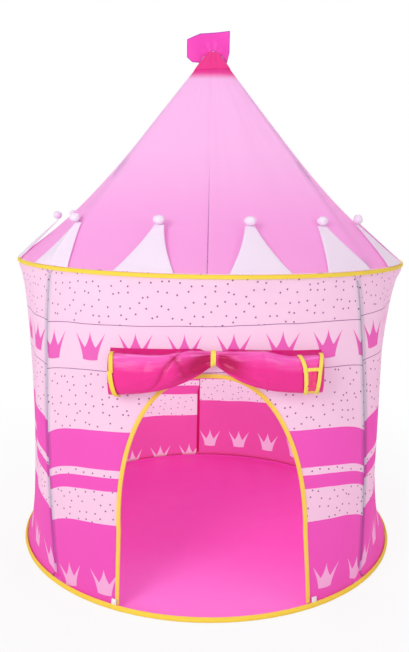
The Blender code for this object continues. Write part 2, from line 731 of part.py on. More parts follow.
def make_merlon(number, centre, colour):
    stations = []
    for row in range(MERLON_ROWS + 1):
        share = row / MERLON_ROWS
        level = EAVE_HEIGHT + SEAM_GAP + MERLON_HEIGHT * share
        stations.append((level, mix(MERLON_HALF_WIDTH, MERLON_NECK_HALF_WIDTH, share), 0.0, level))
    neck = stations[-1][0]
    for share in KNOB_STEP_SHARES:
        level = neck + KNOB_HEIGHT * share
        swell = sin(pi * min(share + KNOB_STEP_SHARES[0], 1.0))
        width = mix(KNOB_HALF_WIDTH / 2, KNOB_HALF_WIDTH, swell)
        stations.append((level, width, KNOB_REACH * swell, neck))
    mesh_builder = bmesh.new()
    loops = []
    for level, half_width, bulge, seat_level in stations:
        front, behind = [], []
        for share in MERLON_COLUMN_SHARES:
            azimuth = centre + arc_degrees(half_width * share)
            radius = merlon_radius(azimuth, seat_level)
            crown = bulge * sqrt(1.0 - (share * KNOB_STEP_SHARES[2]) ** 2)
            front.append(place(radius + MERLON_HALF_THICKNESS + crown, azimuth, level))
            behind.append(place(radius - MERLON_HALF_THICKNESS, azimuth, level))
        loops.append([mesh_builder.verts.new(point) for point in front + list(reversed(behind))])
    count = len(loops[0])
    for near, far in zip(loops, loops[1:]):
        for corner in range(count):
            following = (corner + 1) % count
            mesh_builder.faces.new((near[corner], near[following], far[following], far[corner]))
    mesh_builder.faces.new(loops[0])
    mesh_builder.faces.new(list(reversed(loops[-1])))
    finish_mesh("merlon_{:02d}".format(number), mesh_builder, colour)


# Poles

def pole_point(azimuth, height):
    rise = height - POLE_FOOT_HEIGHT
    settle = max(1.0 - rise / POLE_SETTLE_RISE, 0.0)
    setback = POLE_SETBACK + (POLE_FOOT_SETBACK - POLE_SETBACK) * settle
    return place(ridge_radius(height) - setback, azimuth, height)


def pole_route(azimuth):
    # Foot, the end of the straight length in the foot and pocket, then even steps to the hub
    foot = pole_point(azimuth, POLE_FOOT_HEIGHT)
    steps = 2 * POLE_SECTION_STEPS
    straight = max(FOOT_LENGTH, POCKET_LENGTH) + CUT_OVERRUN
    second = pole_point(azimuth, POLE_FOOT_HEIGHT + straight)
    socket = pole_point(azimuth, POLE_TOP_HEIGHT - HUB_SOCKET_LENGTH)
    top = pole_point(azimuth, POLE_TOP_HEIGHT)
    middle = [pole_point(azimuth, mix(second.z, socket.z, step / steps)) for step in range(1, steps)]
    return [foot, second] + middle + [socket, top]


def split_route(route):
    # The joint is at the middle of a straight span as long as the ferrule
    spot = int(len(route) * POLE_JOINT_SHARE)
    before, after = route[spot - 1], route[spot]
    along = (after - before).normalized()
    middle = mix(before, after, 0.5)
    ferrule = (middle - along * FERRULE_LENGTH / 2, middle + along * FERRULE_LENGTH / 2)
    lower = route[:spot] + [middle - along * SEAM_GAP / 2]
    upper = [middle + along * SEAM_GAP / 2] + route[spot:]
    return lower, upper, ferrule, along


def make_pole(slot, colours):
    azimuth = RIDGE_AZIMUTH + FULL_TURN * slot / RIDGE_COUNT
    name = GORE_NAMES[slot]
    route = pole_route(azimuth)
    lower, upper, ferrule, along = split_route(route)
    resolution = (POLE_SIDES - 4) // 2
    tube_object(name + "_lower_pole", lower, POLE_RADIUS, resolution, False, colours["pole"], 0.35, 0.0)
    tube_object(name + "_upper_pole", upper, POLE_RADIUS, resolution, False, colours["pole"], 0.35, 0.0)

    bore = POLE_RADIUS + SEAM_GAP
    outer = bore + FERRULE_WALL
    mesh_builder = bmesh.new()
    length = (ferrule[1] - ferrule[0]).length
    rings = [(bore, 0.0), (outer, 0.0), (outer, length), (bore, length), (bore, 0.0)]
    turned(mesh_builder, rings, ferrule[0], along, SMALL_ROUND_SIDES)
    finish_mesh(name + "_ferrule", mesh_builder, colours["steel"], 0.3, 1.0)

    axis = (route[1] - route[0]).normalized()
    foot_base = route[0] - axis * (SEAM_GAP + FOOT_WALL)
    foot_radius = bore + FOOT_WALL
    depth = FOOT_WALL
    cup = [(0.0, 0.0), (foot_radius, 0.0), (foot_radius, FOOT_LENGTH), (bore, FOOT_LENGTH),
           (bore, depth), (0.0, depth)]
    mesh_builder = bmesh.new()
    turned(mesh_builder, cup, foot_base, axis, SMALL_ROUND_SIDES)
    finish_mesh(name + "_pole_foot", mesh_builder, colours["rubber"], 0.7)

    make_pocket(name, azimuth, foot_base, axis, foot_radius, colours["pocket"])
    return route


def make_pocket(name, azimuth, foot_base, axis, foot_radius, colour):
    # A cloth cup round the pole's foot, on a stitched base against the eave binding
    bore = foot_radius + SEAM_GAP
    outer = bore + POCKET_WALL
    base = foot_base - axis * (SEAM_GAP + POCKET_BASE_THICKNESS)
    depth = POCKET_BASE_THICKNESS
    height = POCKET_BASE_THICKNESS + POCKET_LENGTH
    cup = [(0.0, 0.0), (outer, 0.0), (outer, height), (bore, height), (bore, depth), (0.0, depth)]
    mesh_builder = bmesh.new()
    turned(mesh_builder, cup, base, axis, SMALL_ROUND_SIDES)
    pocket = finish_mesh(name + "_pole_pocket", mesh_builder, colour)

    radial = outward(azimuth)
    sideways = Vector((0.0, 0.0, 1.0)).cross(radial)
    back = BASE_RADIUS - CHANNEL_HALF - LOOSE_GAP
    front = back - POCKET_PATCH_DEPTH
    top = EAVE_HEIGHT - POCKET_BASE_THICKNESS
    mesh_builder = bmesh.new()
    corners = [(front, -1.0), (back, -1.0), (back, 1.0), (front, 1.0)]
    lower, upper = [], []
    for reach, side in corners:
        spot = radial * reach + sideways * side * POCKET_PATCH_WIDTH / 2
        lower.append(mesh_builder.verts.new((spot.x, spot.y, top - POCKET_PATCH_DROP)))
        upper.append(mesh_builder.verts.new((spot.x, spot.y, top)))
    mesh_builder.faces.new(lower)
    mesh_builder.faces.new(upper)
    for spot in range(len(corners)):
        following = (spot + 1) % len(corners)
        mesh_builder.faces.new((lower[spot], lower[following], upper[following], upper[spot]))
    patch = finish_mesh(name + "_pocket_guide", mesh_builder, colour, smooth=False)
    join_or_cut(pocket, patch, "UNION")


def join_or_cut(item, tool, operation):
    boolean = item.modifiers.new(operation.lower(), "BOOLEAN")
    boolean.operation = operation
    boolean.solver = "EXACT"
    boolean.object = tool
    tool.hide_render = True
    tool.display_type = "WIRE"


def make_hub(routes, colour):
    top = ROOF_TOP_HEIGHT - HUB_DROP + HUB_HEIGHT
    profile = [(0.0, 0.0), (HUB_RADIUS, 0.0), (HUB_RADIUS, HUB_HEIGHT * HUB_SHOULDER_SHARE),
               (HUB_RADIUS / 2, HUB_HEIGHT), (0.0, HUB_HEIGHT)]
    mesh_builder = bmesh.new()
    up = Vector((0.0, 0.0, 1.0))
    turned(mesh_builder, profile, Vector((0.0, 0.0, top - HUB_HEIGHT)), up, SMALL_ROUND_SIDES)
    hub = finish_mesh("pole_hub", mesh_builder, colour, 0.5)
    bore = POLE_RADIUS + SEAM_GAP
    outer = bore + HUB_SOCKET_WALL
    for spot, route in enumerate(routes):
        axis = (route[-2] - route[-1]).normalized()
        heart = Vector((0.0, 0.0, route[-1].z - HUB_ARM_DROP))
        arm_axis = Vector((route[-1].x, route[-1].y, 0.0))
        arm_length = arm_axis.length - HUB_ARM_SHORTFALL
        arm = [(0.0, 0.0), (HUB_ARM_RADIUS, 0.0), (HUB_ARM_RADIUS, arm_length), (0.0, arm_length)]
        mesh_builder = bmesh.new()
        turned(mesh_builder, arm, heart, arm_axis.normalized(), SMALL_ROUND_SIDES)
        join_or_cut(hub, finish_mesh("arm_guide_{}".format(spot), mesh_builder, colour), "UNION")
        length = HUB_SOCKET_END + HUB_SOCKET_LENGTH - CUT_OVERRUN
        stub = [(0.0, 0.0), (outer, 0.0), (outer, length), (0.0, length)]
        mesh_builder = bmesh.new()
        turned(mesh_builder, stub, route[-1] - axis * HUB_SOCKET_END, axis, SMALL_ROUND_SIDES)
        join_or_cut(hub, finish_mesh("socket_guide_{}".format(spot), mesh_builder, colour), "UNION")
    for spot, route in enumerate(routes):
        axis = (route[-2] - route[-1]).normalized()
        floor_spot = route[-1] - axis * SEAM_GAP
        mesh_builder = bmesh.new()
        length = HUB_SOCKET_LENGTH * 2
        drill = [(0.0, 0.0), (bore, 0.0), (bore, length), (0.0, length)]
        turned(mesh_builder, drill, floor_spot, axis, SMALL_ROUND_SIDES)
        join_or_cut(hub, finish_mesh("bore_guide_{}".format(spot), mesh_builder, colour), "DIFFERENCE")


# The rolled door flap

def swelling(distance, waist, full, spread):
    return mix(waist, full, 1.0 - exp(-abs(distance) / spread))


def roll_section(distance):
    # Middle height, half height and half depth of the roll at a distance from its tie
    half_height = swelling(distance, ROLL_WAIST_HALF_HEIGHT, ROLL_HALF_HEIGHT, ROLL_HEIGHT_SPREAD)
    half_depth = swelling(distance, ROLL_WAIST_HALF_DEPTH, ROLL_HALF_DEPTH, ROLL_DEPTH_SPREAD)
    top = ROLL_TOP_HEIGHT - ROLL_WAIST_DIP * exp(-abs(distance) / ROLL_DIP_SPREAD)
    return top - half_height, half_height, half_depth


def wall_front(x, height):
    # Y of the wall's mid-cloth at an X and a height, in front of the tent
    radius = BASE_RADIUS
    for _ in range(3):
        azimuth = degrees(Vector((x, sqrt(radius ** 2 - x ** 2))).angle(Vector((0.0, 1.0))))
        radius = wall_radius(azimuth if x > 0.0 else -azimuth, height)
    return -sqrt(radius ** 2 - x ** 2)


def roll_point(distance, side, extra=0.0):
    x = ROLL_MIDDLE + distance
    if side == ROLL_HEM_SIDE and abs(distance) > ROLL_HEM_START:
        # The sewn top edge of the flap, against the wall
        level = ROLL_TOP_HEIGHT + HINGE_RISE
        return Vector((x, wall_front(x, level) - CLOTH / 2 - ROLL_HEM_GAP, level))
    middle, half_height, half_depth = roll_section(distance)
    angle = 2 * pi * side / ROLL_SIDES
    fold = ROLL_FOLD_DEPTH_SHARE * exp(-((abs(distance) / ROLL_FOLD_SPREAD) ** 2))
    pleat = 1.0 - fold * (0.5 - 0.5 * cos(ROLL_FOLD_COUNT * angle + pi * distance / ROLL_HALF_LENGTH))
    across, rise = cos(angle), sin(angle)
    across = abs(across) ** ROLL_SQUARENESS * (1.0 if across > 0.0 else -1.0)
    rise = abs(rise) ** ROLL_SQUARENESS * (1.0 if rise > 0.0 else -1.0)
    height = middle + (half_height * pleat + extra) * rise
    wall_room = CLOTH / 2 + ROLL_WALL_GAP
    binding_room = CLOTH / 2 + OPENING_TAPE_ROOM + TAPE + LOOSE_GAP
    axis_y = wall_front(x, middle) - binding_room - half_depth * ROLL_PRESS_SHARE
    y = axis_y + (half_depth * pleat + extra) * across
    room = binding_room if height < DOOR_TOP_HEIGHT + OPENING_TAPE_LIP * 2 else wall_room
    tie_room = ROLL_TRIM_GAP + TIE_THICKNESS - extra
    return Vector((x, min(y, wall_front(x, height) - room - tie_room), height))


def roll_distances():
    shares = list(ROLL_STATIONS) + [ROLL_HALF_LENGTH]
    return [-distance for distance in reversed(shares[1:])] + shares


def make_roll(colour):
    mesh_builder = bmesh.new()
    loops = []
    for distance in roll_distances():
        ring = [roll_point(distance, side) for side in range(ROLL_SIDES)]
        loops.append([mesh_builder.verts.new(point) for point in ring])
    for near, far in zip(loops, loops[1:]):
        for side in range(ROLL_SIDES):
            following = (side + 1) % ROLL_SIDES
            mesh_builder.faces.new((near[side], near[following], far[following], far[side]))
    mesh_builder.faces.new(loops[0])
    mesh_builder.faces.new(list(reversed(loops[-1])))
    return finish_mesh("door_roll", mesh_builder, colour, 0.35)


def make_tie(colour):
    # A closed ribbon round the waist of the roll
    inner_gap = ROLL_TRIM_GAP
    outer_gap = ROLL_TRIM_GAP + TIE_THICKNESS
    mesh_builder = bmesh.new()
    layers = []
    for gap in (inner_gap, outer_gap):
        layer = []
        for distance in (-TIE_HALF_WIDTH, 0.0, TIE_HALF_WIDTH):
            ring = [roll_point(distance, side, gap) for side in range(ROLL_SIDES)]
            layer.append([mesh_builder.verts.new(point) for point in ring])
        layers.append(layer)
    inner, outer = layers
    strips = [(inner[0], inner[1]), (inner[1], inner[2]), (inner[2], outer[2]),
              (outer[2], outer[1]), (outer[1], outer[0]), (outer[0], inner[0])]
    for near, far in strips:
        for side in range(ROLL_SIDES):
            following = (side + 1) % ROLL_SIDES
            mesh_builder.faces.new((near[side], near[following], far[following], far[side]))
    return finish_mesh("door_tie", mesh_builder, colour)


def make_roll_trim(colour):
    # The frame of the flap's small window, in flat tape on the front of the roll's right end:
    # two upright tapes with a bar between them
    end = ROLL_HALF_LENGTH
    start = end - ROLL_WINDOW_WIDTH
    columns = (start, start + ROLL_TRIM_WIDTH, end - ROLL_TRIM_WIDTH, end)
    sides = range(ROLL_TRIM_FIRST_SIDE, ROLL_TRIM_LAST_SIDE + 1)
    mesh_builder = bmesh.new()
    grid = []
    for side in sides:
        grid.append([mesh_builder.verts.new(roll_point(distance, side, ROLL_TRIM_GAP))
                     for distance in columns])
    for row, side in enumerate(sides[:-1]):
        for column in range(len(columns) - 1):
            if column == 1 and side not in ROLL_BAR_SIDES:
                continue
            mesh_builder.faces.new((grid[row][column], grid[row + 1][column],
                                    grid[row + 1][column + 1], grid[row][column + 1]))
    return cloth_object("roll_trim", mesh_builder, colour, ROLL_TRIM_THICKNESS, 1.0)


def hang_on_hinge(items):
    # The flap's sewn top edge is the line that the roll swings on
    level = ROLL_TOP_HEIGHT + HINGE_RISE
    pivot = Vector((ROLL_MIDDLE, wall_front(ROLL_MIDDLE, level) - CLOTH / 2, level))
    hinge = bpy.data.objects.new("door_hinge_line", None)
    bpy.context.scene.collection.objects.link(hinge)
    hinge.location = pivot
    for item in items:
        item.data.transform(Matrix.Translation(-pivot))
        item.parent = hinge


def main():
    clear_scene()
    wall_pink = (0.93, 0.62, 0.80)
    floor_pink = (0.93, 0.09, 0.38)
    roof_pink = (0.95, 0.30, 0.66)
    deep_pink = (0.90, 0.05, 0.25)
    white_pink = (0.93, 0.82, 0.92)
    yellow = (0.95, 0.66, 0.03)
    steel = (0.55, 0.55, 0.57)
    grey = (0.55, 0.53, 0.62)
    colours = {"pole": (0.75, 0.74, 0.72), "steel": steel, "rubber": (0.02, 0.02, 0.02),
               "pocket": (0.10, 0.09, 0.10)}

    door = Opening(door_half_width, door_rows(), door_centre, True)
    right_window = Opening(window_half_width, window_rows(), lambda level: WINDOW_AZIMUTH, False)
    left_window = Opening(window_half_width, window_rows(),
                          lambda level: FULL_TURN - WINDOW_AZIMUTH, False)
    openings = (door, right_window, None, left_window)

    for index, opening in enumerate(openings):
        wall_panel(index, opening, wall_pink)
        make_hoop(index, steel)
        make_seam_tape(index, grey)
    make_base_binding(yellow)
    make_eave_binding(yellow)
    make_floor(floor_pink)
    opening_tape("door_binding", door, yellow)
    opening_tape("right_window_binding", right_window, yellow)
    opening_tape("left_window_binding", left_window, yellow)

    for slot in range(RIDGE_COUNT):
        make_gore(slot, roof_pink)
    make_apex_cap(deep_pink)
    make_flag(deep_pink)
    for number, azimuth in enumerate(MERLON_AZIMUTHS, start=1):
        make_merlon(number, azimuth, white_pink)

    routes = [make_pole(slot, colours) for slot in range(RIDGE_COUNT)]
    make_hub(routes, (0.04, 0.04, 0.04))

    hang_on_hinge([make_roll(deep_pink), make_tie(yellow), make_roll_trim(yellow)])


main()
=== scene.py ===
from math import atan2, cos, degrees, exp, hypot, pi, radians, sin, sqrt

import bmesh
import bpy
from mathutils import Matrix, Vector, noise


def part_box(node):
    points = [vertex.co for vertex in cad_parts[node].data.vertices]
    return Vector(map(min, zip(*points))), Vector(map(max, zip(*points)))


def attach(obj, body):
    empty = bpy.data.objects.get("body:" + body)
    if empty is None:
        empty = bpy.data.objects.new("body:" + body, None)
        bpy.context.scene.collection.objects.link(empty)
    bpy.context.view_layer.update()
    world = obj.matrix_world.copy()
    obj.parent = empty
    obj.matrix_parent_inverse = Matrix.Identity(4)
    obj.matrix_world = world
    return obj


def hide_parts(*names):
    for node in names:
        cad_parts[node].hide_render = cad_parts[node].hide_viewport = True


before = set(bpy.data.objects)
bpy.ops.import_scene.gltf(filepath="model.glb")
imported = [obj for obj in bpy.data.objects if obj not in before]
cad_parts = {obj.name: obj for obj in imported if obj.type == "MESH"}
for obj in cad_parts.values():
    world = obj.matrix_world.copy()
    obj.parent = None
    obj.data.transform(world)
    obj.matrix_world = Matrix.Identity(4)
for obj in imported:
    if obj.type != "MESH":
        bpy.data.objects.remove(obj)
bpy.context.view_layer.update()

print("packed tent loaded")

# The tent's own shape in metres; azimuths are degrees from the door towards +X
tent = {"radius": 0.525, "eave": 0.802, "roofTop": 1.338, "tip": 1.352,
        "jointBow": 0.018, "panelDraw": 0.026, "bowPower": 0.6, "bowFoot": 0.026, "bowHead": 0.778,
        "sideDraws": ((90.0, 0.038), (270.0, 0.022)), "drawStart": 3.0, "drawSpread": 14.0,
        "jointFeet": (-45.0, 47.5, 135.0, 225.0), "jointHeads": (-45.0, 39.5, 135.0, 225.0),
        "ridgeFoot": 0.5227, "ridgeTop": 0.026, "roofBow": 0.0165, "roofFlat": 0.25}


def mix(first, last, share):
    return first + (last - first) * share


def evenly(first, last, count):
    return [mix(first, last, step / count) for step in range(count + 1)]


def clamp(value, low=0.0, high=1.0):
    return min(max(value, low), high)


def easeBetween(low, high, value):
    share = clamp((value - low) / (high - low))
    return share * share * (3.0 - 2.0 * share)


def pointAt(azimuth, radius, height):
    turn = radians(azimuth)
    return Vector((radius * sin(turn), -radius * cos(turn), height))


def waver(x, y, z):
    return noise.noise(Vector((x, y, z)))


def ringAngles(count):
    # Once round in equal steps, back to the start
    return [360.0 * (step % count) / count for step in range(count + 1)]


def arcDegrees(length):
    return degrees(length / tent["radius"])


def wallRadius(azimuth, height):
    share = clamp((height - tent["bowFoot"]) / (tent["bowHead"] - tent["bowFoot"]))
    lobe = cos(radians(4 * (azimuth - 45.0)))
    reach = lobe * (tent["jointBow"] if lobe > 0.0 else tent["panelDraw"])
    for middle, draw in tent["sideDraws"]:
        pastJoint = 45.0 - abs(azimuth % 360.0 - middle)
        reach -= draw * sin(pi / 2 * clamp((pastJoint - tent["drawStart"]) / tent["drawSpread"])) ** 2
    return tent["radius"] + reach * abs(sin(pi * share)) ** tent["bowPower"]


def wallAt(azimuth, height, out=0.0):
    return pointAt(azimuth, wallRadius(azimuth, height) + out, height)


def wallFront(x, height):
    # Y of the front wall, a few steps nearer each time
    radius = tent["radius"]
    for _ in range(3):
        azimuth = degrees(atan2(x, sqrt(radius ** 2 - x ** 2)))
        radius = wallRadius(azimuth, height)
    return -sqrt(radius ** 2 - x ** 2)


def jointAt(index, height):
    turn, slot = divmod(index, 4)
    share = height / tent["eave"]
    return mix(tent["jointFeet"][slot], tent["jointHeads"][slot], share) + 360.0 * turn


def ridgeRadius(height):
    share = clamp((height - tent["eave"]) / (tent["roofTop"] - tent["eave"]))
    return mix(tent["ridgeFoot"], tent["ridgeTop"], share) + tent["roofBow"] * sin(pi * share ** 0.6)


def roofRadius(azimuth, height):
    share = clamp((height - tent["eave"]) / (tent["roofTop"] - tent["eave"]))
    flat = tent["roofFlat"] * (1.0 - exp(-share / 0.30))
    between = ((azimuth - 45.0) % 90.0) / 90.0
    return ridgeRadius(height) * (1.0 - flat * abs(sin(pi * between)) ** 0.65)


# Cloth is laid out as grids of (point, place on the flat cut, distance from the hem)

def startCloth():
    builder = bmesh.new()
    builder.loops.layers.uv.new("cut")
    builder.verts.layers.float.new("hem")
    return builder


def addPatch(builder, grid):
    cutLayer = builder.loops.layers.uv["cut"]
    hemLayer = builder.verts.layers.float["hem"]
    corners = []
    for line in grid:
        corners.append([builder.verts.new(point) for point, cut, hem in line])
        for corner, (point, cut, hem) in zip(corners[-1], line):
            corner[hemLayer] = hem
    for row in range(len(grid) - 1):
        for column in range(len(grid[row]) - 1):
            spots = ((row, column), (row, column + 1), (row + 1, column + 1), (row + 1, column))
            face = builder.faces.new([corners[a][b] for a, b in spots])
            face.smooth = True
            for loop, (a, b) in zip(face.loops, spots):
                loop[cutLayer].uv = grid[a][b][1]


def endCloth(builder, name, weld=0.00004):
    bmesh.ops.remove_doubles(builder, verts=builder.verts, dist=weld)
    mesh = bpy.data.meshes.new(name)
    builder.to_mesh(mesh)
    builder.free()
    piece = bpy.data.objects.new(name, mesh)
    bpy.context.scene.collection.objects.link(piece)
    return piece


def sewSheet(grid, name, weld=0.00004, facing=None):
    # One grid as a sheet; facing is "out" for a closed route, or "turned" to turn its faces over
    builder = startCloth()
    addPatch(builder, grid)
    if facing == "out":
        bmesh.ops.remove_doubles(builder, verts=builder.verts, dist=weld)
        bmesh.ops.recalc_face_normals(builder, faces=builder.faces)
    elif facing == "turned":
        for face in builder.faces:
            face.normal_flip()
    return endCloth(builder, name, weld)


def dress(piece, finish, slotName, *nodes, body="tent"):
    piece.data.materials.clear()
    piece.data.materials.append(finish)
    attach(piece, body)
    if nodes:
        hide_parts(*nodes)
    return piece


def pick(piece):
    bpy.ops.object.select_all(action="DESELECT")
    piece.select_set(True)
    bpy.context.view_layer.objects.active = piece


def applyNew(piece, kind, **settings):
    # Adds a modifier with its settings, and applies it
    pick(piece)
    layer = piece.modifiers.new(kind.lower(), kind)
    for name, value in settings.items():
        setattr(layer, name, value)
    bpy.ops.object.modifier_apply(modifier=layer.name)
    return piece


def thicken(piece, thickness, offset=0.0):
    # Doubles a sheet into a thin closed wall
    return applyNew(piece, "SOLIDIFY", thickness=thickness, offset=offset, use_rim=True)


# Finishes

def paint(red, green, blue):
    # A colour as on a paint card, 0 to 255
    made = []
    for value in (red / 255, green / 255, blue / 255):
        made.append(value / 12.92 if value <= 0.04045 else ((value + 0.055) / 1.055) ** 2.4)
    return (*made, 1.0)


class nodeValue:
    # A number inside a material; sums with it add the nodes that work them out.
    # a | b is the greater of two shares, and ~a is what a share leaves of 1
    def __init__(self, tree, socket):
        self.tree, self.socket = tree, socket

    def calc(self, operation, *others, clamped=False):
        inputs = dict(enumerate((self, *others)))
        made = addNode(self.tree, "Math", inputs, operation=operation, use_clamp=clamped)
        return nodeValue(self.tree, made.outputs[0])

    def __add__(self, other):
        return self.calc("ADD", other)

    def __sub__(self, other):
        return self.calc("SUBTRACT", other)

    def __mul__(self, other):
        return self.calc("MULTIPLY", other)

    def __pow__(self, other):
        return self.calc("POWER", other)

    def __abs__(self):
        return self.calc("ABSOLUTE")

    def __or__(self, other):
        return self.calc("MAXIMUM", other)

    def __invert__(self):
        return self.calc("MULTIPLY_ADD", -1.0, 1.0)

    def limited(self, factor, added=0.0):
        return self.calc("MULTIPLY_ADD", factor, added, clamped=True)

    def above(self, edge, softness=0.0012):
        # 1 where it is over edge, with a soft step
        if isinstance(edge, nodeValue):
            return (self - edge).above(0.0, softness)
        return self.limited(1.0 / softness, 0.5 - edge / softness)

    def eased(self, first, last):
        made = addNode(self.tree, "MapRange", {0: self, 1: first, 2: last}, interpolation_type="SMOOTHSTEP")
        return nodeValue(self.tree, made.outputs[0])


def addNode(tree, kind, values=None, **settings):
    made = tree.nodes.new("ShaderNode" + kind)
    for name, value in settings.items():
        setattr(made, name, value)
    for key, value in (values or {}).items():
        value = value.socket if isinstance(value, nodeValue) else value
        if isinstance(value, bpy.types.NodeSocket):
            tree.links.new(value, made.inputs[key])
        else:
            made.inputs[key].default_value = value
    return made


def blendTint(tree, share, first, second, mode="MIX"):
    return addNode(tree, "Mix", {0: share, 6: first, 7: second}, data_type="RGBA", blend_type=mode).outputs[2]


def startFinish(name):
    made = bpy.data.materials.new(name)
    made.use_nodes = True
    made.node_tree.nodes.clear()
    return made, made.node_tree


def readCut(tree):
    # The flat cut, and the places along it and up it
    cut = addNode(tree, "UVMap", uv_map="cut").outputs[0]
    split = addNode(tree, "SeparateXYZ", {0: cut}).outputs
    return cut, nodeValue(tree, split[0]), nodeValue(tree, split[1])


def readValue(tree, name):
    return nodeValue(tree, addNode(tree, "Attribute", attribute_name=name).outputs["Fac"])


def clouds(tree, place, scale, detail, distortion=0.0):
    inputs = {"Vector": place, "Scale": scale, "Detail": detail, "Distortion": distortion}
    return nodeValue(tree, addNode(tree, "TexNoise", inputs).outputs[0])


def bump(tree, height, strength, distance, **more):
    inputs = {"Height": height, "Strength": strength, "Distance": distance, **more}
    return addNode(tree, "Bump", inputs).outputs[0]


def weaveBump(tree, cut, along, up, pitch, strength, raised):
    # Fine over-and-under threads on the flat cut, with slow unevenness
    threads = (along * (2 * pi / pitch)).calc("SINE") * (up * (2 * pi / pitch)).calc("SINE")
    return bump(tree, threads * 0.35 + clouds(tree, cut, 60.0, 3.0) * 1.6 + raised, strength, 0.0004)


def clothShader(tree, tint, normal, roughness, through, sheen=0.0, specular=0.3, shine=(1.0, 1.0, 1.0, 1.0)):
    shown = addNode(tree, "BsdfPrincipled", {
        "Base Color": tint, "Roughness": roughness, "Specular IOR Level": specular, "Specular Tint": shine,
        "Sheen Weight": sheen, "Sheen Roughness": 0.4, "Normal": normal}).outputs[0]
    if through > 0.0:
        behind = addNode(tree, "BsdfTranslucent", {"Color": tint, "Normal": normal})
        shown = addNode(tree, "MixShader", {0: through, 1: shown, 2: behind.outputs[0]}).outputs[0]
    addNode(tree, "OutputMaterial", {"Surface": shown})


wallPrint = {"pale": paint(253, 234, 246), "deep": paint(247, 100, 203), "deepBackShaded": paint(243, 92, 180),
             "crown": paint(242, 116, 200), "paleCrown": paint(253, 206, 238), "dot": paint(148, 90, 148),
             "seam": paint(148, 100, 154), "shade": paint(196, 184, 222), "faded": paint(238, 214, 240),
             "bands": ((0.440, 0.347), (0.328, 0.295), (0.213, -1.0)),
             "seams": (0.688, 0.583), "seamHalf": 0.0008, "shadeWidth": 0.007,
             "dotSpacing": 0.0234, "dotRadius": 0.0021, "crownSpacing": 0.110,
             "upperShift": 0.055, "upperFoot": 0.6045, "lowerShift": 0.081, "lowerFoot": 0.030, "weave": 0.0011}
# Crown: half width at its foot, what it gains by flareTop, tops of its body and points, and their widths
crown = {"foot": 0.0195, "gain": 0.0185, "flareTop": 0.053, "sag": -6.0, "body": 0.030, "soft": 0.0008,
         "needle": (0.067, 0.070, 0.041, 0.0140), "side": (0.055, 0.055, 0.026, 0.0115)}


def crownMask(along, height, shift, foot):
    # A plain three-pointed crown: a flaring body, two leaning points and a taller one between them
    spacing, soft = wallPrint["crownSpacing"], crown["soft"]
    turn = along.calc("MULTIPLY_ADD", 1.0 / spacing, 10.5 - shift / spacing).calc("FRACT")
    across = abs(turn - 0.5) * spacing
    rise = height - foot + across * across * crown["sag"]
    rim = rise.limited(1.0 / crown["flareTop"]) ** 1.6 * crown["gain"] + crown["foot"]
    inRim = rim.above(across, soft)
    body = rise.above(0.0, soft) * inRim * ~rise.above(crown["body"], soft)
    upper = rise.above(crown["body"] - 0.001, soft)
    top, tip, length, width = crown["needle"]
    needle = rise.limited(-1.0 / length, tip / length) ** 1.7 * width
    middle = upper * needle.above(across, soft) * ~rise.above(top, soft)
    top, tip, length, width = crown["side"]
    inner = rim - rise.limited(-1.0 / length, tip / length) ** 0.9 * width
    side = inRim * across.above(inner, soft) * upper * ~rise.above(top, soft)
    return body | middle | side


def makeWallCloth(name, deepTint):
    look = wallPrint
    made, tree = startFinish(name)
    cut, along, up = readCut(tree)
    height = up + clouds(tree, cut, 11.0, 1.0).calc("MULTIPLY_ADD", 0.006, -0.003)
    bands = [height.above(foot) * ~height.above(top) for top, foot in look["bands"]]
    deep = bands[0] | bands[1] | bands[2]
    crownBand = height.above(look["seams"][1]) * ~height.above(look["seams"][0])
    spots = addNode(tree, "TexVoronoi", {"Vector": cut, "Scale": 1.0 / look["dotSpacing"], "Randomness": 0.78},
                    voronoi_dimensions="2D", feature="F1").outputs["Distance"]
    dot = ~nodeValue(tree, spots).above(look["dotRadius"] / look["dotSpacing"], 0.03) * ~(deep | crownBand)
    upper = crownMask(along, height, look["upperShift"], look["upperFoot"]) * crownBand
    lower = crownMask(along, height, look["lowerShift"], look["lowerFoot"]) * ~height.above(0.15)
    lines = [~abs(height - level).above(look["seamHalf"], 0.0006) for level in look["seams"]]
    groove = lines[0] | lines[1]
    tint = look["pale"]
    for share, colour in ((deep, deepTint), (dot, look["dot"]), (upper, look["crown"]),
                          (lower, look["paleCrown"]), (groove, look["seam"])):
        tint = blendTint(tree, share, tint, colour)
    # The grey next to a joint is partly the dark wire showing through the thin cloth and partly painted shade
    # of its folded channel
    near = ~readValue(tree, "hem").limited(1.0 / look["shadeWidth"])
    tint = blendTint(tree, near * 0.42, tint, look["shade"], "MULTIPLY")
    tint = blendTint(tree, clouds(tree, cut, 3.0, 2.0) * 0.10, tint, look["faded"], "MULTIPLY")
    normal = weaveBump(tree, cut, along, up, look["weave"], 0.35, groove * -4.0)
    clothShader(tree, tint, normal, 0.72, 0.40, 0.12)
    return made


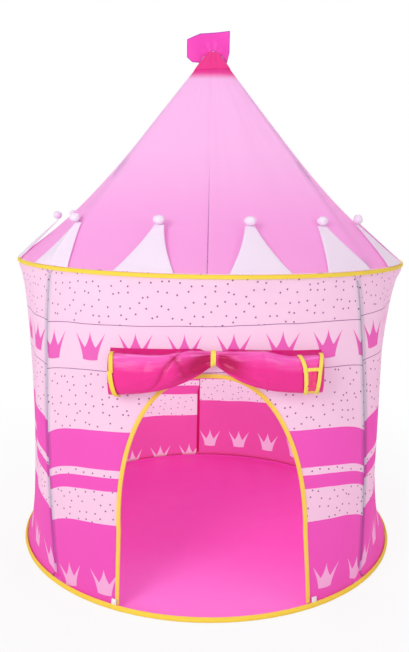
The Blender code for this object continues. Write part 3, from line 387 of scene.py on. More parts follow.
def makePlainCloth(name, tint, second, roughness, through, sheen=0.1, weave=0.0009, strength=0.3, specular=0.3,
                   hemTint=None, hemWidth=0.004, scale=5.0, foldShade=None, shine=(1.0, 1.0, 1.0, 1.0),
                   changes=(), paintedGleam=None):
    # Dyed cloth with slow colour changes, a weave, and a line of another shade along its hems
    made, tree = startFinish(name)
    cut, along, up = readCut(tree)
    shade = blendTint(tree, clouds(tree, cut, scale, 3.0), paint(*tint), paint(*second))
    edge = ~readValue(tree, "hem").above(hemWidth, hemWidth * 0.5)
    if hemTint:
        shade = blendTint(tree, edge, shade, paint(*hemTint))
    if paintedGleam:
        # Satin is crumpled in long soft folds, whose crests get a painted highlight; the same noise also bumps
        # the surface
        drawnOut = addNode(tree, "Mapping", {"Vector": cut, "Scale": (11.0, 52.0, 1.0)}).outputs[0]
        crumple = clouds(tree, drawnOut, 1.0, 2.0, 0.7)
        shade = blendTint(tree, crumple.eased(0.50, 0.68) * 0.8, shade, paint(*paintedGleam))
    # The colour changes along the cut, from one place on it to another; on the satin, the floor and the roof's
    # upper part this is painted light and shade
    for newTint, first, last in changes:
        shade = blendTint(tree, up.eased(first, last), shade, paint(*newTint))
    if foldShade:
        # Painted shade: little light gets down into the folds, so they are painted darker
        shade = blendTint(tree, readValue(tree, "fold").limited(3.4, -0.25), shade, paint(*foldShade))
    normal = weaveBump(tree, cut, along, up, weave, strength, edge * 1.5)
    if paintedGleam:
        normal = bump(tree, crumple, 0.8, 0.006, Normal=normal)
    clothShader(tree, shade, normal, roughness, through, sheen, specular, shine)
    return made


def makeTape(name, tint, second, through=0.12):
    # Ribbed binding tape; the cut runs along it, and two lines of stitches lie near its edges
    made, tree = startFinish(name)
    cut, along, up = readCut(tree)
    shade = blendTint(tree, clouds(tree, cut, 9.0, 2.0), paint(*tint), paint(*second))
    rib = (along * (2 * pi / 0.0011)).calc("SINE")
    dash = (along * (2 * pi / 0.0042)).calc("SINE").above(-0.3, 0.3)
    stitch = ~abs(readValue(tree, "hem") - 0.0018).above(0.0004, 0.0003) * dash
    shade = blendTint(tree, stitch * 0.5, shade, paint(255, 240, 150))
    clothShader(tree, shade, bump(tree, rib * 0.25 + stitch * 1.2, 0.4, 0.0004), 0.6, through, 0.1)
    return made


def makeHard(name, tint, second, roughness, metallic=0.0, scale=220.0, stretch=(1.0, 1.0, 0.05)):
    # Moulded, drawn or pultruded surfaces, with fine streaks along Z
    made, tree = startFinish(name)
    place = addNode(tree, "TexCoord").outputs["Object"]
    streak = clouds(tree, addNode(tree, "Mapping", {"Vector": place, "Scale": stretch}).outputs[0], scale, 4.0)
    shader = addNode(tree, "BsdfPrincipled", {
        "Base Color": blendTint(tree, streak, paint(*tint), paint(*second)), "Metallic": metallic,
        "Roughness": streak * 0.2 + (roughness - 0.1), "Normal": bump(tree, streak, 0.15, 0.0003)})
    addNode(tree, "OutputMaterial", {"Surface": shader.outputs[0]})
    return made


wallCloth = makeWallCloth("printed wall cloth", wallPrint["deep"])
# The back wall's copy paints its deep bands darker and redder: painted shade of the wall's inside, which is lit
# only through the pink cloth
shadedBackCloth = makeWallCloth("printed back wall cloth in painted shade", wallPrint["deepBackShaded"])
# The roof is painted paler towards its top: painted light. Under the cap it turns deep pink
roofCloth = makePlainCloth("pink roof cloth", (255, 196, 248), (254, 190, 246), 0.50, 0.50, 0.1,
                           hemTint=(150, 92, 150), hemWidth=0.0009,
                           changes=(((255, 216, 252), 0.05, 0.40), ((246, 74, 166), 0.630, 0.664)))
# The floor is painted paler at its front, near the door: a painted sheen of the light that falls in there;
# further back it keeps its deeper pink
floorCloth = makePlainCloth("deep pink floor cloth", (255, 132, 224), (255, 120, 216), 0.40, 0.0, 0.35,
                            specular=0.5, changes=(((255, 84, 200), -0.50, -0.12),))
merlonCloth = makePlainCloth("white-pink merlon cloth", (254, 243, 254), (250, 232, 250), 0.45, 0.20,
                             0.2, hemTint=(244, 205, 236), hemWidth=0.002)
# Painted light and shade on the satin: paler where the roll's top faces up, darker down its front, and darker
# again as painted shade in a strip along the sewn top edge and at its ends
satinCloth = makePlainCloth("magenta satin", (252, 104, 196), (248, 92, 186), 0.30, 0.03, 0.0, weave=0.0005,
                            strength=0.12, specular=0.34, hemTint=(206, 12, 112), hemWidth=0.006,
                            foldShade=(186, 0, 84), shine=(1.0, 0.80, 0.95, 1.0),
                            changes=(((234, 44, 142), 0.024, 0.064), ((206, 12, 112), 0.0140, 0.0110)),
                            paintedGleam=(255, 150, 224))
paneCloth = makePlainCloth("red-pink pane cloth", (226, 0, 84), (250, 70, 140), 0.24, 0.0, 0.0, weave=0.0007,
                           strength=0.3, specular=0.5, scale=110.0)
# The back seam's fold is painted one crimson: partly the print's deep band and partly painted shade in the
# seam; it lets no light through
shadedSeamCloth = makePlainCloth("crimson seam cloth in painted shade", (222, 22, 122), (206, 10, 104), 0.6, 0.0)
capCloth = makePlainCloth("deep pink cap cloth", (244, 50, 146), (238, 44, 138), 0.42, 0.05, 0.2,
                          hemTint=(226, 30, 124), hemWidth=0.0025)
flagCloth = makePlainCloth("magenta flag cloth", (247, 74, 194), (243, 66, 186), 0.45, 0.1, 0.2,
                           hemTint=(196, 62, 190), hemWidth=0.0022)
yellowTape = makeTape("yellow binding tape", (255, 232, 84), (255, 222, 64), 0.22)
paleTape = makeTape("pale yellow frame tape", (255, 234, 104), (255, 226, 86))
doorTape = makeTape("orange-yellow door tape", (255, 218, 98), (255, 208, 76))
sheerTape = makeTape("grey seam tape", (206, 196, 216), (196, 186, 208))
pocketCloth = makePlainCloth("black pocket webbing", (40, 38, 42), (28, 27, 30), 0.8, 0.0)
whiteTape = makePlainCloth("white loop tape", (252, 250, 250), (244, 240, 246), 0.6, 0.2)
print("finishes made")

# Walls: four printed panels, each held open by its hoop
wall = {"foot": 0.0015, "head": 0.8005, "edge": 0.0003, "footCorner": 0.0505, "headCorner": 0.0255,
        "swell": 0.0020, "hoopPlace": 0.0058, "hoopSpread": 0.0028, "ripple": 0.0020, "rows": 120,
        "columns": 44,
        "nearEdge": (0.0, 0.0014, 0.0028, 0.0042, 0.0056, 0.0070, 0.0086, 0.0104, 0.0128, 0.0165, 0.022, 0.030)}
door = {"footHalf": 0.2315, "half": 0.2180, "spring": 0.200, "top": 0.574, "power": 0.41,
        "footMiddle": 2.2, "topMiddle": 0.2}
window = {"half": 0.118, "middle": 0.465, "reach": 0.180, "power": 3.0}
# How the print lies on the front, right, back and left panel; first is the joint that it starts from
panels = (
    {"first": 0, "lift": 0.006, "tilt": 0.026, "droop": 0.034, "shift": 0.0, "settle": 0.0, "lean": 0.0},
    {"first": 1, "lift": 0.030, "tilt": -0.01, "droop": 0.030, "shift": 0.02, "settle": -0.007, "lean": 0.056},
    {"first": 2, "lift": 0.004, "tilt": 0.0, "droop": 0.030, "shift": 0.0, "settle": 0.0, "lean": 0.0},
    {"first": 3, "lift": 0.021, "tilt": 0.01, "droop": 0.034, "shift": 0.018, "settle": 0.013, "lean": 0.014})


def doorHalf(height):
    if height <= door["spring"]:
        return mix(door["footHalf"], door["half"], height / door["spring"])
    share = (height - door["spring"]) / (door["top"] - door["spring"])
    return door["half"] * (1.0 - share ** 2) ** door["power"] if share < 1.0 else 0.0


def doorMiddle(height):
    return mix(door["footMiddle"], door["topMiddle"], min(height / door["top"], 1.0))


def windowHalf(height):
    share = abs(height - window["middle"]) / window["reach"]
    return window["half"] * max(1.0 - share ** window["power"], 0.0) ** (1.0 / window["power"])


def archHeight(angle):
    # Height of the arch's edge at an angle round it, 0 at its spring and 90 at its top
    return mix(door["spring"], door["top"], sin(radians(angle)))


def doorStops():
    angles = (0, 10, 20, 28, 35, 42, 48, 54, 59, 64, 68, 72, 75, 78, 81, 84, 86, 88, 90)
    return [archHeight(angle) for angle in angles]


def sillHeight(angle):
    # Height of the window's edge at an angle round it, -90 at its sill and 90 at its head
    rise = sin(radians(angle))
    return window["middle"] + window["reach"] * abs(rise) ** (2.0 / window["power"]) * (1 if rise > 0 else -1)


def windowStops():
    return [sillHeight(sign * angle) for angle in (90, 87, 84, 80, 75, 68, 60, 50, 38, 20) for sign in (-1, 1)]


def wallLevels(stops):
    levels = list(stops)
    corners = [wall["foot"] + wall["footCorner"] * (1.0 - cos(radians(angle))) for angle in range(0, 91, 9)]
    corners += [wall["head"] - wall["headCorner"] * (1.0 - cos(radians(angle))) for angle in range(0, 91, 15)]
    plain = evenly(wall["foot"], wall["head"], wall["rows"])
    for extra, room in ((corners, 0.0006), (plain, 0.0025)):
        for level in extra:
            if all(abs(level - other) > room for other in levels):
                levels.append(level)
    return sorted(levels)


def nearCorners(height):
    # How far the height is from the panel's foot and head, each with the radius of the corners there
    return (height - wall["foot"], wall["footCorner"]), (wall["head"] - height, wall["headCorner"])


def hemDistance(fromSide, height):
    # Distance from the panel's rounded outline
    nearest = fromSide
    for reach, corner in nearCorners(height):
        nearest = min(nearest, reach)
    for reach, corner in nearCorners(height):
        if reach < corner and fromSide < corner:
            nearest = corner - hypot(corner - fromSide, corner - reach)
    return max(nearest, 0.0)


def sideRetreat(height):
    # How far the rounded corner keeps the cloth from its joint
    for reach, corner in nearCorners(height):
        if reach < corner:
            return corner - sqrt(max(corner ** 2 - (corner - reach) ** 2, 0.0))
    return 0.0


def clothPoint(azimuth, height, fromHem, fromOpening, seed):
    swell = wall["swell"] * exp(-((fromHem - wall["hoopPlace"]) / wall["hoopSpread"]) ** 2)
    calm = easeBetween(0.008, 0.05, fromHem) * easeBetween(0.012, 0.05, fromOpening)
    turn = radians(azimuth)
    around = Vector((sin(turn), cos(turn), 0.0)) * 3.6
    slow = waver(around.x, around.y, height * 1.6 + seed)
    quick = waver(around.x * 3.1, around.y * 3.1, height * 4.0 + seed + 7.0)
    return wallAt(azimuth, height, swell + calm * wall["ripple"] * (slow + 0.35 * quick))


def printHeight(panel, along, height, fromJoint):
    # Height in the print that shows at a place on the panel; it hangs most below 0.44
    held = exp(-max(height - 0.44, 0.0) / 0.155)
    droop = panel["droop"] * exp(-fromJoint / 0.05)
    lean = panel["lean"] * easeBetween(0.02, 0.26, fromJoint) * exp(-((height - 0.40) / 0.20) ** 2)
    settle = panel["settle"] * easeBetween(0.48, 0.58, height)
    return height - panel["tilt"] * along - (panel["lift"] - droop) * held - lean + settle


def panelHalf(builder, panel, levels, openMiddle, openHalf, onLeft):
    # One half of a panel, from its joint to its opening's edge or middle line
    index = panel["first"] if onLeft else panel["first"] + 1
    sign = 1.0 if onLeft else -1.0
    grid = []
    for level in levels:
        retreat = sideRetreat(level)
        joint = jointAt(index, level)
        start = joint + sign * arcDegrees(wall["edge"] + retreat)
        end = openMiddle(level) - sign * arcDegrees(openHalf(level))
        width = abs(end - start) / arcDegrees(1.0)
        line = []
        for reach in (*wall["nearEdge"][:-1], *evenly(wall["nearEdge"][-1], width, wall["columns"])):
            azimuth = start + sign * arcDegrees(reach)
            fromSide = reach + retreat
            fromHem = hemDistance(fromSide, level)
            fromOpening = width - reach if openHalf(level) > 0.0 else 1.0
            if openHalf is doorHalf:
                fromOpening = min(fromOpening, abs(level - door["top"]) + width - reach)
            along = radians(azimuth - 90.0 * panel["first"]) * tent["radius"]
            line.append((clothPoint(azimuth, level, fromHem, fromOpening, panel["first"] * 3.7),
                         (along + panel["shift"], printHeight(panel, along, level, fromSide)), fromHem))
        grid.append(line if onLeft else line[::-1])
    addPatch(builder, grid)


def makePanel(name, panel, openMiddle, openHalf=lambda level: 0.0, stops=(), sides=(True, False)):
    builder = startCloth()
    levels = wallLevels(stops)
    for onLeft in sides:
        panelHalf(builder, panel, levels, openMiddle, openHalf, onLeft)
    return endCloth(builder, name)


frontWall = makePanel("front_wall_cloth", panels[0], doorMiddle, doorHalf, doorStops())
rightWall = makePanel("right_wall_cloth", panels[1], lambda level: 90.0, windowHalf, windowStops())
leftWall = makePanel("left_wall_cloth", panels[3], lambda level: 270.0, windowHalf, windowStops())
for piece, node in ((frontWall, "front_wall"), (rightWall, "right_wall"), (leftWall, "left_wall")):
    dress(piece, wallCloth, "wall_cloth", node)

# The back panel is two widths of cloth, sewn a little to one side of its middle; their prints don't meet
backSeam = 183.6
backRightWall = makePanel("back_wall_right_cloth", dict(panels[2], lift=0.013, shift=-0.021),
                          lambda level: backSeam, sides=(True,))
backLeftWall = makePanel("back_wall_left_cloth", dict(panels[2], lift=-0.046, shift=0.010, droop=0.010),
                         lambda level: backSeam, sides=(False,))
dress(backRightWall, shadedBackCloth, "wall_cloth", "back_wall")
dress(backLeftWall, shadedBackCloth, "wall_cloth")
print("wall panels made")


# Inside the back seam the cloth's two edges lie folded to one side
seamFold = {"foot": 0.0175, "head": 0.7800, "depth": 0.0100, "narrow": 0.0026, "change": 0.262, "rows": 110}


def makeSeamFold():
    grid = []
    for level in evenly(seamFold["foot"], seamFold["head"], seamFold["rows"]):
        lean = 0.0009 * waver(1.0, level * 14, 3.0)
        depth = mix(seamFold["depth"], seamFold["narrow"], easeBetween(-0.01, 0.03, level - seamFold["change"]))
        section = ((0.0000, -0.0006), (depth * 0.1, -0.0026), (depth * 0.35, -0.0040 + lean),
                   (depth * 0.7, -0.0036 + lean), (depth, -0.0022 + lean))
        grid.append([(wallAt(backSeam + arcDegrees(along), level, out), (0.03 + along, level + 0.060),
                      depth - along + 0.005) for along, out in section])
    return sewSheet(grid, "back_seam_fold")


backFold = dress(makeSeamFold(), shadedSeamCloth, "wall_cloth")
print("back seam made")


# Inside each joint a tape covers both hoop channels
seamTape = {"half": 0.0105, "foot": 0.0476, "head": 0.7794, "rows": 60, "depth": 0.0016, "wire": 0.0020}


def makeSeamTape(name, index):
    grid = []
    for level in evenly(seamTape["foot"], seamTape["head"], seamTape["rows"]):
        line = []
        for reach in evenly(seamTape["half"], -seamTape["half"], 14):
            ridge = exp(-((abs(reach) - wall["hoopPlace"]) / 0.0030) ** 2)
            depth = -seamTape["depth"] - seamTape["wire"] * ridge
            depth += 0.0003 * waver(reach * 90, level * 30, index)
            line.append((wallAt(jointAt(index, level) + arcDegrees(reach), level, depth),
                         (level, reach), seamTape["half"] - abs(reach)))
        grid.append(line)
    return sewSheet(grid, name + "_inner")


for index, corner in enumerate(("front_left", "front_right", "back_right", "back_left")):
    name = corner + "_seam_tape"
    tape = dress(makeSeamTape(name, index), sheerTape, "seam_tape", name)
print("joint tapes made")

# Bindings: tape folded over the foot, the eave and the edges of the openings
binding = {"footSection": ((-0.0030, 0.0062), (-0.0034, 0.0040), (-0.0030, 0.0018), (-0.0016, 0.0004),
                           (0.0022, 0.0002), (0.0062, 0.0012), (0.0090, 0.0040), (0.0098, 0.0078),
                           (0.0086, 0.0118), (0.0048, 0.0146)),
           "eaveSection": ((-0.0035, 0.7930), (-0.0038, 0.7970), (-0.0030, 0.8003), (-0.0010, 0.8020),
                           (0.0012, 0.8020), (0.0034, 0.8003), (0.0042, 0.7970), (0.0037, 0.7930)),
           "openSection": ((0.0085, -0.0019), (0.0050, -0.0022), (0.0015, -0.0022), (-0.0006, -0.0015),
                           (-0.0012, 0.0), (-0.0006, 0.0015), (0.0015, 0.0022), (0.0050, 0.0022),
                           (0.0085, 0.0019)),
           "steps": 360}


def sectionLengths(section):
    lengths = [0.0]
    for near, far in zip(section, section[1:]):
        lengths.append(lengths[-1] + hypot(far[0] - near[0], far[1] - near[1]))
    return lengths


def ringTape(name, section):
    lengths = sectionLengths(section)
    grid = []
    for (out, height), length in zip(section, lengths):
        line = []
        for step, azimuth in enumerate(ringAngles(binding["steps"])):
            turn = radians(azimuth)
            pucker = 0.00035 * waver(sin(turn) * 30, cos(turn) * 30, length * 160)
            radius = tent["radius"] + out + pucker * (1 if out > 0 else -1)
            along = 2 * pi * tent["radius"] * step / binding["steps"]
            line.append((pointAt(azimuth, radius, height), (along, length), min(length, lengths[-1] - length)))
        grid.append(line)
    return sewSheet(grid, name, facing="out"), lengths[-1]


def openingTape(name, middle, half, levels, closed):
    section = binding["openSection"]
    lengths = sectionLengths(section)
    left = [(middle(level) - arcDegrees(half(level)), level) for level in levels]
    right = [(middle(level) + arcDegrees(half(level)), level) for level in levels]
    # The tape's route up the left side, over the top and down the right, on the wall laid flat
    route = left + (right[-2:0:-1] if closed else right[-2::-1])
    flat = [Vector((radians(azimuth) * tent["radius"], level)) for azimuth, level in route]
    count = len(flat)
    grid, travelled = [], 0.0
    for spot in range(count + closed):
        here = flat[spot % count]
        before = here - flat[(spot - 1) % count]
        after = flat[(spot + 1) % count] - here
        if spot:
            travelled += before.length
        elif not closed:
            before = after
        if spot == count - 1 and not closed:
            after = before
        along = (before.normalized() + after.normalized()).normalized()
        away = Vector((-along.y, along.x))
        line = []
        for (reach, depth), length in zip(section, lengths):
            azimuth = degrees((here.x + away.x * reach) / tent["radius"])
            pucker = 1.0 + 0.25 * waver(travelled * 90, length * 120, 3.0)
            line.append((wallAt(azimuth, here.y + away.y * reach, depth * pucker),
                         (travelled, length), min(length, lengths[-1] - length)))
        grid.append(line)
    return sewSheet(grid, name, facing="out"), travelled, lengths[-1]


for place, section in (("base", "footSection"), ("eave", "eaveSection")):
    edge, tapeWidth = ringTape(place + "_tape", binding[section])
    dress(edge, yellowTape, "yellow_tape", place + "_binding")

# The door's tape starts above the foot binding
fineDoor = [0.0143, *evenly(0.022, door["spring"], 24)]
fineDoor += [archHeight(angle) for angle in (*range(3, 82, 3), 83, 85, 87, 88.5, 90)]
edge, edgeLength, tapeWidth = openingTape("door_tape", doorMiddle, doorHalf, fineDoor, False)
dress(edge, doorTape, "yellow_tape", "door_binding")
fineWindow = [sillHeight(3.0 * step) for step in range(-30, 31)]
for side, azimuth in (("right", 90.0), ("left", 270.0)):
    name = side + "_window"
    edge, edgeLength, tapeWidth = openingTape(name + "_tape", lambda level: azimuth, windowHalf, fineWindow,
                                              True)
    dress(edge, yellowTape, "yellow_tape", name + "_binding")
print("bindings made")

# Two blank white tape loops stand at the foot of the front panel
loopTab = {"width": 0.0135, "foot": 0.0125, "head": 0.0290, "out": 0.0046, "bulge": 0.0016}


def makeTab(name, azimuth, lean):
    grid = []
    for share in evenly(0.0, 1.0, 8):
        level = mix(loopTab["foot"], loopTab["head"], share)
        out = loopTab["out"] + loopTab["bulge"] * sin(pi * share)
        grid.append([])
        for side in evenly(-0.5, 0.5, 6):
            along = side * loopTab["width"]
            grid[-1].append((wallAt(azimuth + arcDegrees(along + lean * share), level, out + 0.0006 * side),
                             (along, level), 1.0))
    return thicken(sewSheet(grid, name), 0.0007)


tabs = [dress(makeTab("left_tab", -24.1, 0.0015), whiteTape, "seam_tape"),
        dress(makeTab("right_tab", 29.3, -0.0010), whiteTape, "seam_tape")]


# Floor: a round sheet that lies on the ground, a little rumpled
floorLook = {"radius": 0.5180, "rings": 60, "spokes": 240, "rumple": 0.0016,
             "turnUp": ((0.5190, 0.0022), (0.5200, 0.0046), (0.5206, 0.0064), (0.5222, 0.0074),
                        (0.5236, 0.0078))}


def makeFloor():
    grid, turns = [], ringAngles(floorLook["spokes"])
    for ring in range(floorLook["rings"] + 1):
        radius = max(floorLook["radius"] * ring / floorLook["rings"], 0.0005)
        line = []
        for azimuth in turns:
            spot = pointAt(azimuth, radius, 0.0)
            ridge = abs(waver(spot.x * 5, spot.y * 5, 2.0)) ** 0.7
            ridge += 0.5 * waver(spot.x * 16, spot.y * 16, 5.0)
            calm = 1.0 - easeBetween(0.40, 0.52, radius)
            spot.z = 0.0012 + floorLook["rumple"] * max(ridge, 0.0) * calm
            line.append((spot, (spot.x, spot.y), floorLook["radius"] - radius + 0.018))
        grid.append(line[::-1])
    # The edge turns up inside the foot binding, and is sewn to the walls
    for step, (radius, height) in enumerate(floorLook["turnUp"]):
        line = []
        for azimuth in reversed(turns):
            spot = pointAt(azimuth, radius + 0.0005 * noise.noise(pointAt(azimuth, 12.0, step)), height)
            line.append((spot, (spot.x * (1.0 + height), spot.y * (1.0 + height)), 0.017 - height))
        grid.append(line)
    return sewSheet(grid, "floor_cloth")


floorSheet = dress(makeFloor(), floorCloth, "floor_cloth", "floor_sheet")
print("floor made")

# Roof: four gores, sewn at the middle of each side and carried by a pole at their ridges
roof = {"rows": 64, "columns": 56, "foot": 0.8033, "fold": 0.0042, "seamDip": 0.0016, "seamAside": 0.0065,
        "halfWidth": 44.97}


def roofFold(azimuth, height):
    share = clamp((height - tent["eave"]) / (tent["roofTop"] - tent["eave"]))
    turn = radians(azimuth)
    long = waver(sin(turn) * 4.2, cos(turn) * 4.2, height * 1.1)
    fine = waver(sin(turn) * 11.0, cos(turn) * 11.0, height * 2.0 + 4.0)
    calm = easeBetween(0.0, 0.10, share) * easeBetween(0.0, 0.25, 1.0 - share)
    return roof["fold"] * (long + 0.4 * fine) * calm


def makeGore(name, middle):
    grid, slant = [], 0.0
    for level in evenly(roof["foot"], tent["roofTop"], roof["rows"]):
        if grid:
            slant += hypot(ridgeRadius(level) - ridgeRadius(lastLevel), level - lastLevel)
        lastLevel = level
        line = []
        for share in evenly(-1.0, 1.0, roof["columns"]):
            # Finer steps towards the seams
            share = share * (1.55 - 0.55 * abs(share)) if abs(share) < 1 else share
            azimuth = middle + roof["halfWidth"] * clamp(share, -1.0, 1.0)
            fromFront = abs((azimuth + 180.0) % 360.0 - 180.0)
            azimuth -= min(degrees(roof["seamAside"] / ridgeRadius(level)), 6.0) * exp(-fromFront / 14.0)
            radius = roofRadius(azimuth, level)
            fromSeam = radians(roof["halfWidth"] * (1.0 - abs(share))) * radius
            dip = roof["seamDip"] * exp(-((fromSeam - 0.0015) / 0.0035) ** 2)
            line.append((pointAt(azimuth, radius + roofFold(azimuth, level) - dip, level),
                         (radians(azimuth - middle) * radius, slant), fromSeam))
        grid.append(line)
    return sewSheet(grid, name + "_cloth")


corners = ("front_right", "back_right", "back_left", "front_left")
for corner, middle in zip(corners, (45.0, 135.0, 225.0, 315.0)):
    name = corner + "_roof_gore"
    gore = dress(makeGore(name, middle), roofCloth, "roof_cloth", name)
print("roof made")

# Cap over the tip of the roof
cap = {"foot": 1.2970, "uneven": 0.0055, "standoff": 0.0026, "pleat": 0.0016, "rows": 22, "steps": 96}


def makeCap():
    grid = []
    for share in evenly(0.0, 1.0, cap["rows"]):
        line = []
        for azimuth in ringAngles(cap["steps"]):
            turn = radians(azimuth)
            foot = cap["foot"] + cap["uneven"] * (sin(turn) + 0.5 * waver(sin(turn) * 3, cos(turn) * 3, 1.0))
            level = mix(foot, tent["tip"], share)
            if level < tent["roofTop"]:
                radius = roofRadius(azimuth, level) + cap["standoff"] * mix(0.4, 1.0, min(share / 0.2, 1.0))
            else:
                left = (tent["tip"] - level) / (tent["tip"] - tent["roofTop"])
                radius = (roofRadius(azimuth, tent["roofTop"]) + cap["standoff"]) * sqrt(clamp(left))
            pleat = cap["pleat"] * sin(11 * turn + 1.5 * sin(3 * turn)) * sin(pi * share) ** 0.5
            line.append((pointAt(azimuth, max(radius + pleat, 0.0), level),
                         (turn * 0.04, share * 0.07), share * 0.07))
        grid.append(line)
    return sewSheet(grid, "apex_cap_cloth", 0.0002)


capPiece = dress(makeCap(), capCloth, "satin_cloth", "apex_cap")

# Pennant that straddles the tip
flag = {"top": ((-0.071, 1.381), (-0.0355, 1.397), (0.044, 1.405)),
        "foot": ((-0.071, 1.336), (-0.057, 1.3235), (-0.0372, 1.3215), (-0.0244, 1.3392), (0.0, 1.3537),
                 (0.0244, 1.3392), (0.0372, 1.3215), (0.044, 1.350)),
        "columns": 72, "rows": 26, "wave": 0.0040, "pucker": 0.0011, "tip": 1.350, "thickness": 0.0016}


def alongLine(line, x):
    for near, far in zip(line, line[1:]):
        if x <= far[0]:
            return mix(near[1], far[1], clamp((x - near[0]) / (far[0] - near[0])))
    return line[-1][1]


def makeFlag():
    grid, left, right = [], flag["top"][0][0], flag["top"][-1][0]
    for rise in evenly(0.0, 1.0, flag["rows"]):
        line = []
        for x in evenly(left, right, flag["columns"]):
            low, high = alongLine(flag["foot"], x), alongLine(flag["top"], x)
            level = mix(low, high, rise)
            fromTip = hypot(x, level - flag["tip"])
            wave = flag["wave"] * sin(38.0 * x + 26.0 * (level - flag["tip"]))
            wave *= easeBetween(0.012, 0.05, fromTip)
            pucker = flag["pucker"] * sin(9.0 * atan2(level - tent["roofTop"], x))
            pucker *= exp(-((fromTip - 0.018) / 0.010) ** 2)
            line.append((Vector((x, wave + pucker, level)),
                         (x, level), min(x - left, right - x, level - low, high - level)))
        grid.append(line)
    return thicken(sewSheet(grid, "top_flag_cloth"), flag["thickness"])


flagPiece = dress(makeFlag(), flagCloth, "flag_cloth", "top_flag")
print("cap and pennant made")

# Merlons: stuffed flaps on the eave, each with a round knob at its tip; one bag is wrapped twelve times
merlon = {"places": (12.0, 37.0, 62.0, 94.5, 127.0, 159.5, 192.5, 225.0, 255.0, 285.0, 315.0, 344.0),
          "half": 0.073, "neck": 0.0150, "height": 0.100, "lean": 0.108, "enlarged": 10.0, "pressure": 1.2,
          "drawnIn": 0.12, "moments": 20, "puff": 0.0046, "flat": 0.0006, "rows": 30, "columns": 24}
knob = {"radius": 0.0125, "height": 0.01045, "wide": 1.15, "deep": 0.95, "raised": 0.0095, "forward": 0.0045,
        "gather": 0.07, "rows": 14, "columns": 24}


def fillMerlon():
    # Two cloths of the merlon's outline, sewn round their edges and filled, at ten times their size
    builder = startCloth()
    grow = merlon["enlarged"]
    for side in (1.0, -1.0):
        grid = []
        for share in evenly(0.0, 1.0, merlon["rows"]):
            half = merlon["neck"] + (merlon["half"] - merlon["neck"]) * (1.0 - share) ** 1.22
            line = []
            for across in evenly(-1.0, 1.0, merlon["columns"]):
                inside = min(1.0 - abs(across), share, 1.0 - share) > 0.001
                level = share * merlon["height"]
                line.append((Vector((half * across, side * (merlon["flat"] if inside else 0.0), level)) * grow,
                             (half * across, level + (0.0 if side > 0 else 0.2)),
                             min(half * (1.0 - abs(across)), 0.004 + level)))
            grid.append(line)
        addPatch(builder, grid)
    bmesh.ops.remove_doubles(builder, verts=builder.verts, dist=0.0005)
    bmesh.ops.recalc_face_normals(builder, faces=builder.faces)
    bag = endCloth(builder, "merlon_bag", 0.0)
    sewn = bag.vertex_groups.new(name="sewn")
    high = grow * merlon["height"] - 0.001
    sewn.add([vertex.index for vertex in bag.data.vertices if not 0.001 < vertex.co.z < high], 1.0, "REPLACE")
    cutSpots = [vertex.co.copy() for vertex in bag.data.vertices]
    pick(bag)
    stuffing = bag.modifiers.new("stuffing", "CLOTH")
    cloth = stuffing.settings
    cloth.quality, cloth.mass, cloth.air_damping = 8, 0.3, 2.0
    cloth.tension_stiffness = cloth.compression_stiffness = 20.0
    cloth.shear_stiffness, cloth.bending_stiffness = 8.0, 0.4
    cloth.use_pressure, cloth.uniform_pressure_force = True, merlon["pressure"]
    cloth.vertex_group_mass = "sewn"
    cloth.effector_weights.gravity = 0.0
    stuffing.collision_settings.use_collision = False
    stuffing.point_cache.frame_start, stuffing.point_cache.frame_end = 1, merlon["moments"]
    scene = bpy.context.scene
    for moment in range(1, merlon["moments"] + 1):
        scene.frame_set(moment)
    bpy.ops.object.modifier_apply(modifier=stuffing.name)
    scene.frame_set(1)
    # The cloth is cut larger by nearly all that the filling draws it in
    for vertex, cutSpot in zip(bag.data.vertices, cutSpots):
        vertex.co.x = mix(cutSpot.x, vertex.co.x, merlon["drawnIn"])
        vertex.co.z = mix(cutSpot.z, vertex.co.z, merlon["drawnIn"])
    filled = applyNew(bag, "SUBSURF", levels=1, render_levels=1).data
    filled.transform(Matrix.Scale(1.0 / grow, 4))
    bpy.data.objects.remove(bag)
    deepest = max(abs(vertex.co.y) for vertex in filled.vertices)
    print("merlon filled, {:.1f} mm deep each side before it is pressed flat".format(1000 * deepest))
    return filled


def merlonRadius(azimuth, height):
    share = (height - tent["eave"]) / merlon["height"]
    leaning = tent["radius"] + 0.0012 - merlon["lean"] * share
    return max(leaning, roofRadius(azimuth, height) + 0.0050)


def wrapped(azimuth, spot):
    along, height, out = spot[:3]
    turned = azimuth + arcDegrees(along)
    level = tent["eave"] + 0.0003 + height
    return pointAt(turned, merlonRadius(turned, level) + out, level)


def makeMerlon(name, azimuth, filled):
    builder = bmesh.new()
    builder.from_mesh(filled)
    for corner in builder.verts:
        along, out, height = corner.co
        out = merlon["puff"] * (1.0 if out > 0.0 else -1.0) * (1.0 - exp(-abs(out) / merlon["puff"]))
        corner.co = wrapped(azimuth, (along, height, out))
    # The knob is a small stuffed ball, gathered at its neck
    middle = wrapped(azimuth, (0.0, merlon["height"], 0.0))
    outward = pointAt(azimuth, 1.0, 0.0)
    across = Vector((0.0, 0.0, 1.0)).cross(outward)
    centre = middle + Vector((0.0, 0.0, knob["raised"])) + outward * knob["forward"]
    grid = []
    for share in evenly(0.0, 1.0, knob["rows"]):
        line = []
        for turn in [radians(angle) for angle in ringAngles(knob["columns"])]:
            gather = 1.0 - knob["gather"] * (0.5 + 0.5 * cos(8 * turn)) * (1.0 - share) ** 2
            ring = knob["radius"] * gather * sin(pi * share)
            spot = centre + across * (knob["wide"] * ring * cos(turn))
            spot += outward * (knob["deep"] * ring * sin(turn))
            spot.z -= knob["height"] * cos(pi * share)
            line.append((spot, (turn * 0.012, 0.5 + pi * share * 0.012), 0.004 + 0.02 * share))
        grid.append(line[::-1])
    addPatch(builder, grid)
    bmesh.ops.remove_doubles(builder, verts=builder.verts, dist=0.0001)
    bmesh.ops.recalc_face_normals(builder, faces=builder.faces)
    return endCloth(builder, name + "_cloth")


filledMerlon = fillMerlon()
for number, azimuth in enumerate(merlon["places"], start=1):
    name = "merlon_{:02d}".format(number)
    piece = dress(makeMerlon(name, azimuth, filledMerlon), merlonCloth, "merlon_cloth", name)
print("merlons made")

